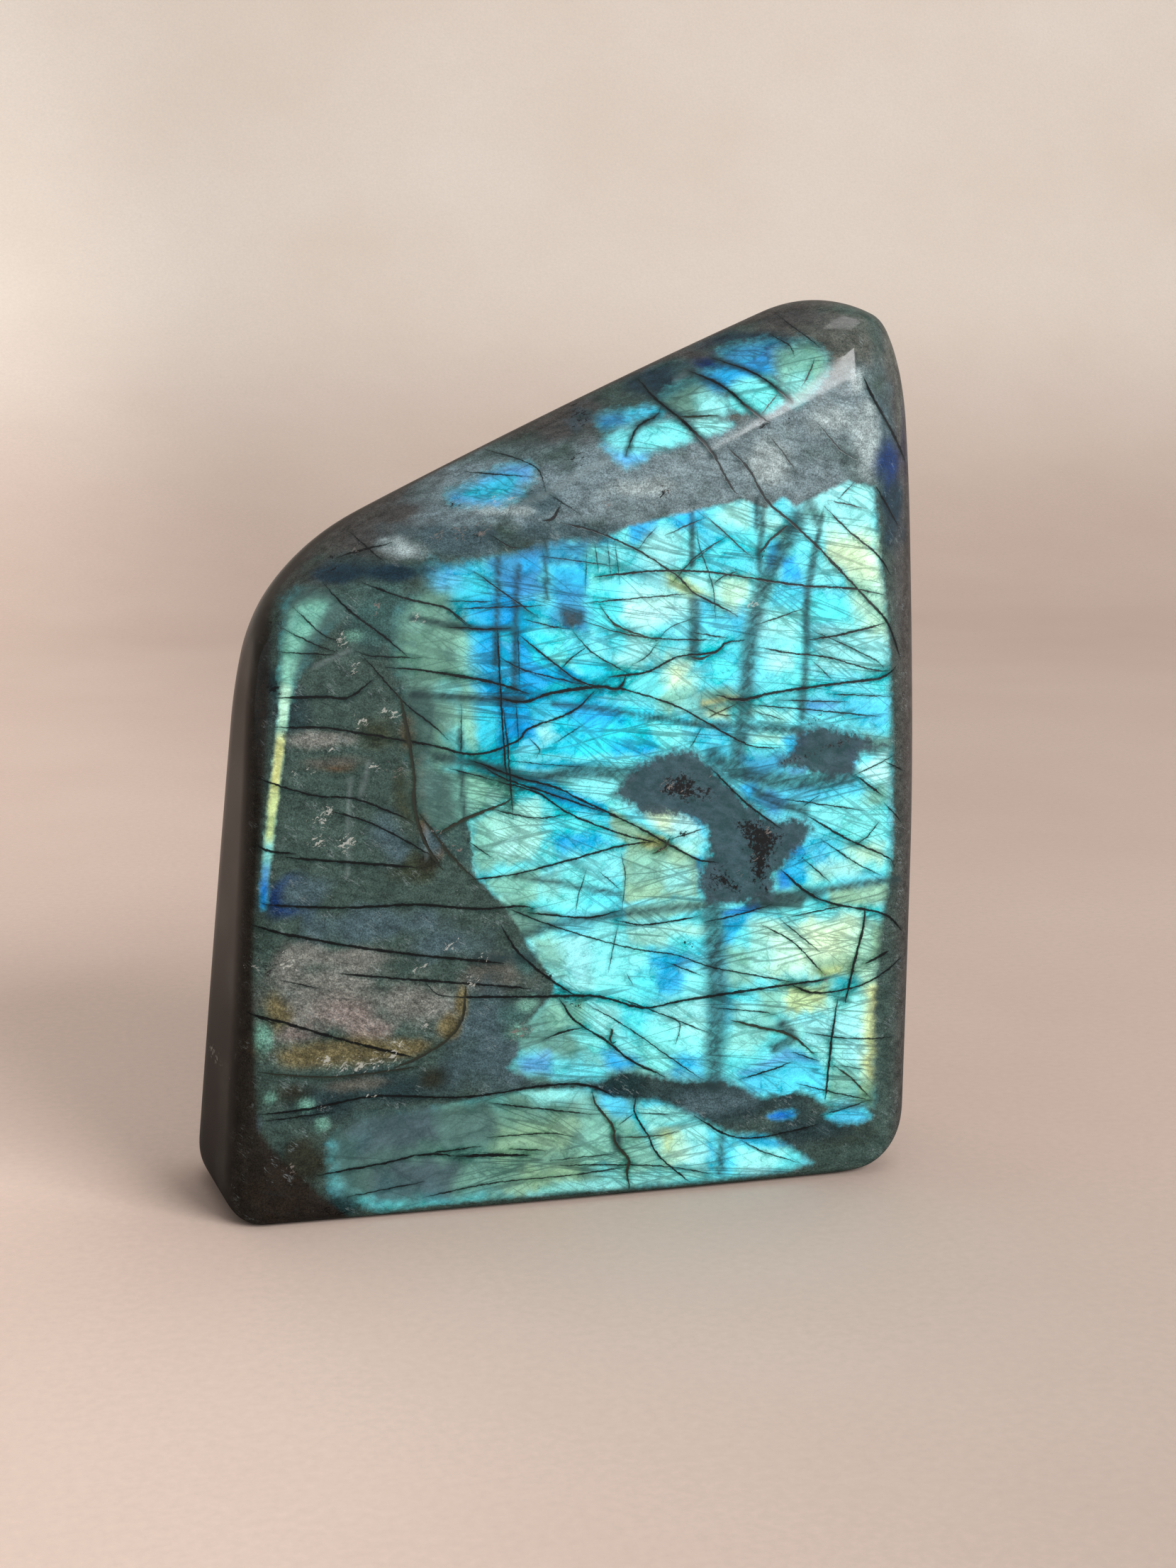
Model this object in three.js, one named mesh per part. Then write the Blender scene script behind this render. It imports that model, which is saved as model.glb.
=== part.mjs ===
// A free-standing piece of polished labradorite: one natural stone, ground to broad soft-edged faces
// and sawn flat underneath so that it stands upright.
// Millimetres, +Z up, the wide front face towards -Y, the origin at the middle of the base.

import * as THREE from 'three';
import { mergeVertices } from 'three/addons/utils/BufferGeometryUtils.js';

// Driving dimensions. Every ground face is measured from one point inside the stone, its heart.
// turn: degrees that the face looks round from the front, positive towards the right side
// lift: degrees that it looks up, negative down
// reach: distance from the heart to the face
// soft: width of the rounding that blends it into the faces listed before it
// bulge: radius of the slight dome that hand polishing leaves on a broad face
const HEART_HEIGHT = 50;
const FACES = [
  { name: 'base', turn: 0, lift: -90, reach: HEART_HEIGHT, soft: 3 },
  { name: 'front', turn: 0, lift: 3.3, reach: 13.5, soft: 2.5, bulge: 1500 },
  { name: 'left side', turn: -84, lift: 4.7, reach: 39.6, soft: 4.7 },
  { name: 'right side', turn: 85, lift: -1.2, reach: 43.4, soft: 6.5 },
  { name: 'back', turn: 182, lift: 6.8, reach: 11.2, soft: 11, bulge: 900 },
  { name: 'slanting top', turn: -90, lift: 61, reach: 41.4, soft: 9.5 },
  { name: 'top front bevel', turn: -37.5, lift: 53, reach: 33.4, soft: 3.8 },
  { name: 'left shoulder', turn: -88, lift: 33, reach: 45.3, soft: 8.7 },
  { name: 'peak', turn: 78, lift: 55, reach: 69.1, soft: 10.5 },
  { name: 'right front bevel', turn: 45, lift: 7, reach: 37.1, soft: 2 },
  { name: 'right foot', turn: 90, lift: -54, reach: 63.9, soft: 5.2 },
  { name: 'left foot', turn: -90, lift: -45, reach: 70.1, soft: 6.5 },
];

// How finely the surface is divided, and how many more divisions its bends get
const SECTORS = 96;
const RINGS = 51;
const FINE_STEPS = 400;
const BEND_WEIGHT = 22;
const FARTHEST_REACH = 150;
const BISECTIONS = 44;
const FLAT_TOLERANCE = 0.001;

const STONE_COLOUR = 0x4c7d86;
const STONE_ROUGHNESS = 0.16;

const heart = new THREE.Vector3(0, 0, HEART_HEIGHT);

function faceNormal(face) {
  const turn = THREE.MathUtils.degToRad(face.turn);
  const lift = THREE.MathUtils.degToRad(face.lift);
  const level = Math.cos(lift);
  return new THREE.Vector3(Math.sin(turn) * level, -Math.cos(turn) * level, Math.sin(lift));
}

const normals = FACES.map(faceNormal);

// How far a point, given from the heart, stands out of one ground face: negative inside
function heightOverFace(point, index) {
  const face = FACES[index];
  const along = point.dot(normals[index]);
  const dome = face.bulge ? (point.lengthSq() - along * along) / (2 * face.bulge) : 0;
  return along - face.reach + dome;
}

// The larger of two heights, blended over the given width so that the edge between them is round
function roundedMaximum(first, second, width) {
  const overlap = Math.max(width - Math.abs(first - second), 0);
  return Math.max(first, second) + (overlap * overlap) / (4 * width);
}

function heightOverStone(point) {
  let height = heightOverFace(point, 0);
  for (let index = 1; index < FACES.length; index += 1) {
    height = roundedMaximum(height, heightOverFace(point, index), FACES[index].soft);
  }
  return height;
}

// The point where a ray from the heart leaves the stone
function surfacePoint(direction) {
  let inside = 0;
  let outside = FARTHEST_REACH;
  const point = new THREE.Vector3();
  for (let step = 0; step < BISECTIONS; step += 1) {
    const middle = (inside + outside) / 2;
    point.copy(direction).multiplyScalar(middle);
    if (heightOverStone(point) < 0) {
      inside = middle;
    } else {
      outside = middle;
    }
  }
  return point.copy(direction).multiplyScalar((inside + outside) / 2);
}

// Picks count + 1 points along a line of points, closer together where the line bends
function respace(line, count) {
  const travelled = [0];
  for (let index = 1; index < line.length; index += 1) {
    const step = line[index].clone().sub(line[index - 1]);
    const next = line[Math.min(index + 1, line.length - 1)].clone().sub(line[index]);
    const bend = next.length() > 0 ? step.angleTo(next) : 0;
    travelled.push(travelled[index - 1] + step.length() + BEND_WEIGHT * bend);
  }
  const total = travelled[travelled.length - 1];
  const picked = [line[0].clone()];
  let index = 0;
  for (let pick = 1; pick < count; pick += 1) {
    const target = (total * pick) / count;
    while (travelled[index + 1] < target) {
      index += 1;
    }
    const share = (target - travelled[index]) / (travelled[index + 1] - travelled[index]);
    picked.push(line[index].clone().lerp(line[index + 1], share));
  }
  picked.push(line[line.length - 1].clone());
  return picked;
}

// A direction in the upright plane through the heart, at an angle round from the left side
function rimDirection(angle) {
  return new THREE.Vector3(-Math.cos(angle), 0, Math.sin(angle));
}

// The angles of the sectors, spaced along the stone's outline rather than evenly
function sectorAngles() {
  const outline = [];
  for (let step = 0; step <= FINE_STEPS; step += 1) {
    outline.push(surfacePoint(rimDirection((step / FINE_STEPS) * 2 * Math.PI)));
  }
  const spaced = respace(outline, SECTORS);
  return spaced.map((point) => Math.atan2(point.z, -point.x));
}

// One line over the stone's surface, from the middle of the back to the middle of the front
function sectorLine(angle) {
  const backwards = new THREE.Vector3(0, 1, 0);
  const sideways = rimDirection(angle);
  const line = [];
  for (let step = 0; step <= FINE_STEPS; step += 1) {
    const swing = (step / FINE_STEPS) * Math.PI;
    const direction = backwards.clone().multiplyScalar(Math.cos(swing));
    direction.addScaledVector(sideways, Math.sin(swing));
    line.push(surfacePoint(direction.normalize()));
  }
  return respace(line, RINGS);
}

// A sphere whose rings are moved out to the ground surface, so it stays one closed body
function stoneGeometry() {
  const sphere = new THREE.SphereGeometry(1, SECTORS, RINGS);
  const lines = sectorAngles().map(sectorLine);
  lines[SECTORS] = lines[0];
  const positions = sphere.attributes.position;
  for (let index = 0; index < positions.count; index += 1) {
    const ring = Math.floor(index / (SECTORS + 1));
    const point = lines[index % (SECTORS + 1)][ring];
    const onBase = Math.abs(point.z + HEART_HEIGHT) < FLAT_TOLERANCE;
    positions.setXYZ(index, point.x, point.y, onBase ? -HEART_HEIGHT : point.z);
  }
  sphere.deleteAttribute('normal');
  sphere.deleteAttribute('uv');
  const closed = mergeVertices(sphere);
  closed.computeVertexNormals();
  return closed;
}

const stoneMaterial = new THREE.MeshStandardMaterial({
  color: STONE_COLOUR,
  roughness: STONE_ROUGHNESS,
  metalness: 0,
});

const stone = new THREE.Mesh(stoneGeometry(), stoneMaterial);
stone.name = 'labradorite_stone';
stone.position.copy(heart);

const part = new THREE.Group();
part.add(stone);

export default part;
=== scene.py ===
import math
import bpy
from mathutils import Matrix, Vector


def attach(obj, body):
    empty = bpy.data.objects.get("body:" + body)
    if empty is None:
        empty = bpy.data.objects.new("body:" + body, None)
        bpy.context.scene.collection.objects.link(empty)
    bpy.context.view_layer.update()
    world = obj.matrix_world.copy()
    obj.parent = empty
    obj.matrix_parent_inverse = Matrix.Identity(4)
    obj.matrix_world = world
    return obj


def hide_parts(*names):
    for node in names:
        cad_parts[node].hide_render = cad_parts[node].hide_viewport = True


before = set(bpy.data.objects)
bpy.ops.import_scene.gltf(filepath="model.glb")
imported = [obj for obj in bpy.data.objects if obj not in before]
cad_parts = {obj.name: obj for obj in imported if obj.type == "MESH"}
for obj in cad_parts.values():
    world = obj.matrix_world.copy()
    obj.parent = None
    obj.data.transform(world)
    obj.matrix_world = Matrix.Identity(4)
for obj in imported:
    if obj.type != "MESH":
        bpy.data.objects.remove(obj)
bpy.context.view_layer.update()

from types import SimpleNamespace

import bpy
import numpy as np

# A standing piece of polished labradorite on a plain floor.
# The stone's form is the CAD part's own, divided more finely. Its markings are drawn on the
# front, in millimetres to the right of the middle and above the base, and are only colour.

MM = 0.001

# Camera, in degrees and millimetres: it stands to the left of the front and looks a little down
CAMERA_TURN = -14.48
CAMERA_LIFT = 10.8
CAMERA_DISTANCE = 285.9
AIM_RIGHT = 3.7
AIM_HEIGHT = 47.7
SENSOR_SIZE = 36.0
LENS = 54.08

# The stone's ground faces, as in the CAD part: turn and lift in degrees, reach from the heart,
# width of the rounding, and radius of the dome on a broad face (0 where it is flat), in millimetres
HEART_HEIGHT = 50.0
FACES = (
    ("base", 0, -90, 50, 3, 0),
    ("front", 0, 3.3, 13.5, 2.5, 1500),
    ("left side", -84, 4.7, 39.6, 4.7, 0),
    ("right side", 85, -1.2, 43.4, 6.5, 0),
    ("back", 182, 6.8, 11.2, 11, 900),
    ("slanting top", -90, 61, 41.4, 9.5, 0),
    ("top front bevel", -37.5, 53, 33.4, 3.8, 0),
    ("left shoulder", -88, 33, 45.3, 8.7, 0),
    ("peak", 78, 55, 69.1, 10.5, 0),
    ("right front bevel", 45, 7, 37.1, 2, 0),
    ("right foot", 90, -54, 63.9, 5.2, 0),
    ("left foot", -90, -45, 70.1, 6.5, 0),
)

# Division of the surface: sectors round the outline, rings from the back to the front
SECTORS = 512
RINGS = 188
FINE_STEPS = 420
BISECTIONS = 24
FARTHEST_REACH = 150.0
BEND_WEIGHT = 6.0
# How close together the rings are on the back, the sides and the front, against one another
RING_WEIGHTS = {"back": 0.33, "side": 0.6, "front": 1.0}

# The map for baking: the front and its rounded edge are one island, the rest is the other
SEAM_RING = 74
MAP_SCALE_FRONT = 0.0063
MAP_SCALE_REST = 0.0027
MAP_MIDDLE_FRONT = (0.345, 0.5)
MAP_MIDDLE_REST = (0.84, 0.5)

# Colours as they look in even light, red, green and blue out of 255
COLOURS = {
    "sky": (78, 212, 246), "azure": (10, 178, 243), "cyan": (84, 234, 252), "royal": (18, 126, 220),
    "lilac": (94, 188, 238), "aqua": (104, 232, 245), "ice": (130, 247, 251), "foam": (140, 228, 224),
    "mint": (164, 242, 232), "leaf": (194, 250, 222), "lime": (196, 224, 158), "moss": (128, 196, 178),
    "cream": (212, 248, 206), "sage": (104, 152, 138), "teal": (48, 196, 228), "pine": (76, 106, 102),
    "olive": (146, 192, 158), "steel": (50, 138, 190), "peri": (88, 168, 226), "frost": (156, 248, 249),
    "snow": (180, 252, 251), "honey": (178, 186, 130), "straw": (222, 234, 160), "stone": (66, 84, 79),
    "murk": (48, 65, 68), "slate": (74, 95, 101), "ash": (118, 137, 143), "silver": (156, 172, 174),
    "bark": (90, 92, 86), "umber": (44, 38, 34), "gold": (104, 98, 72), "sand": (118, 121, 116),
    "navy": (18, 52, 104), "loam": (62, 70, 58), "rim": (74, 72, 70), "night": (34, 54, 66),
    "plum": (66, 64, 74), "spruce": (66, 98, 96), "coal": (18, 21, 23), "iron": (72, 88, 98),
    "earth": (50, 52, 44), "peat": (36, 56, 58), "white": (214, 216, 208), "mauve": (124, 116, 112),
    "rust": (90, 78, 62), "lagoon": (24, 222, 250),
}
# How bright the soft light makes a white surface, and the haze that the polish adds to it
LIGHT_LEVEL = 1.06
POLISH_HAZE = 0.006
# The darkest and the brightest that a surface may be
ALBEDO_RANGE = (0.002, 0.95)

# Outlines of the stretches that flash, in mm
MAIN_FLASH = """
-17.4,74.2 -16.4,75.3 -13.5,75.8 -6.5,76.9 -2.4,78 2.2,77.9 5.4,79.5 11.3,80.8 19.8,82.4 22.1,81.2 24.4,82.6
26.2,81.4 28.9,82.8 32.5,84.3 36,83.4 36.4,76 37.2,70 37.8,62 38,45 38.1,40 36.4,30 35.7,20 35.6,9
29.8,9.5 28,10.9 25.3,11.8 21.6,11.1 19.1,12.7 16.6,13.8 11,14.2 7.5,15.2 4,16 1.3,14.9 -3,15.2 -7,15.8
-9.5,17.2 -8.4,18.8 -8.2,21.4 -6,23.8 -4.2,25.4 -4,27.3 -6.2,30.2 -9.6,36.3
-12.7,39.7 -15.6,42.9 -19.5,47.7 -20,50.6 -19.6,53.5 -19.8,55.4 -20.4,60 -19.6,64 -18.4,70
"""
LOWER_FLASH = """
-30.5,4.3 -30.5,9.8 -27,12.6 -15,13.6 -8,14.4 0,14 2.9,12.6 5.8,11.8 7.9,11.8 11.3,10.2 16.4,7.3 18,6.6
22.5,6 25.6,4 27.8,2.3 26,1.8 17,1.3 -25,1.3
"""
# Small stretches that flash: colour, half the width of the soft edge in mm, outline
FLASH_SHAPES = """
peri .9 -13.7,82.9 -10.1,84.6 -6.9,86.1 -4.6,86.3 -5,85.1 -6.6,84.5 -6.4,83.6 -9.2,82.4 -13.7,82.5
teal .8 -12,83.3 -8,84.9 -6.6,85 -8,83.6 -10.6,82.9
steel .9 4.2,91.6 7.1,92.3 7.8,91.2 6.7,90.9 4.2,90.7
sky .7 7.1,92.3 9.8,93 11.2,92.8 10.6,91.8 7.6,91.3
lilac .8 3.8,88.6 6.5,88.8 8.8,88.4 7.5,87.2 5.8,86.6 4.8,87.2
ice .7 4.3,89.4 5.9,90.3 8.2,90.9 10.4,91.3 12.2,91.3 13.6,90.7 13.6,89.4 10.8,88.7 9.1,88.4 6.5,88.3 4.6,88.5
foam .6 13.6,91.6 16.1,91.8 18.3,91 16.8,90.3 14.7,89.8 13.4,90
sage 1.2 11.4,93.3 13.4,94.6 15.1,95.3 16.8,95 15.8,92.3 13.3,92.1
foam .8 15.2,94 16.8,94.8 18,93.6 17.6,92.3 15,92.2
steel 1.2 19.8,98.8 22,99.6 25.2,100.1 25.8,99.6 24.4,98.2 21.4,97.7 19.6,97.8
azure .8 16.5,96.6 18.5,97.1 21.2,97.6 23.5,98 24.8,97.2 21.5,95.4 18.6,94.6 17.2,95.2
ice .6 18.6,94.8 20.1,95.9 23.4,96.4 24.9,95.3 25.4,94.2 22.6,92.4 20.1,92.5 18.1,92.8
moss 1.3 25.4,99 28.4,100 29.7,98.6 29.4,97.2 27.6,95 26.2,93.9 25.1,95 24.8,97.2
foam .7 24.8,95.4 26.6,96.5 28,96.4 27,95 25.8,94
royal .5 22.3,8.6 24,9.1 26,8.9 25.6,8.2 23,8.1
sage 1.6 -20.6,70 -18,72 -16,72 -17,64 -20,62.8 -21.4,65.4
pine 1 -33,71.2 -31.4,72.4 -28.6,72.6 -27.4,71.6 -28.8,69.8 -31,68 -32.6,65 -33.6,64
moss .7 -33.3,70 -31.4,71.3 -29.6,71.4 -31,69.4 -32.6,67.2 -33.5,64.6 -33.8,61.2 -34.6,61 -34.5,65 -34,68
leaf .3 -33.7,62.4 -34.2,58 -34.7,55 -35.7,55 -35.2,58.6 -34.7,62.6
straw .3 -34.4,57 -35.1,52.6 -35.6,49 -36.6,49 -36.1,52.6 -35.4,57
lime .3 -35.4,50.6 -36,46.4 -36.4,43 -37.3,43 -36.9,46.6 -36.4,50.6
foam .3 -36.2,45 -36.7,41.6 -37.5,41.6 -37.1,45
sky .3 19,13.6 25.3,15.2 28.9,14.3 29.6,12 29,10.3 26.9,11.9 24.8,11 20,12
sky .6 29.6,8 31.4,8.6 34.8,8.6 35.6,7.4 34.6,6.9 31.6,7
peri .3 -36.7,42.4 -37,40 -37.6,40 -37.5,42.4
royal .4 -36.9,40.4 -37.2,37.6 -37.7,37.5 -37.6,40.4
"""

# Spots of colour in the flash, the later ones over the earlier: x, z, half width, half height in mm
FLASH_SPOTS = """
pine -26,66,7,10 -28,72,6,5 -22,8,12,9 -23,52,4,9 -19,74,3,2
sage -17.6,66,4.6,8 -17.6,57,4.4,5 -18,69.6,4.4,4 -14,70.6,2.8,1.6 -9,34,3,3 -12,9,8,8 -4,8,6,8
pine -19.6,58,2.4,6
moss -12.8,57,2.2,4 -12.6,65,2.2,3 5,8,5,8
teal -11,57,2,5 -11,66,2,4
teal 0,60,5,2
foam 8,18,6,6
aqua 3,72,7,8 3,25,9,7 17,62,12,9 31,62,8,6 21,20,7,7 22,47,6,4 30,45,8,5 8,10,6,4
frost 32,81,5,5 33,17,4,8 13,72,8,4 9,77,3,3
"""
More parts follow.
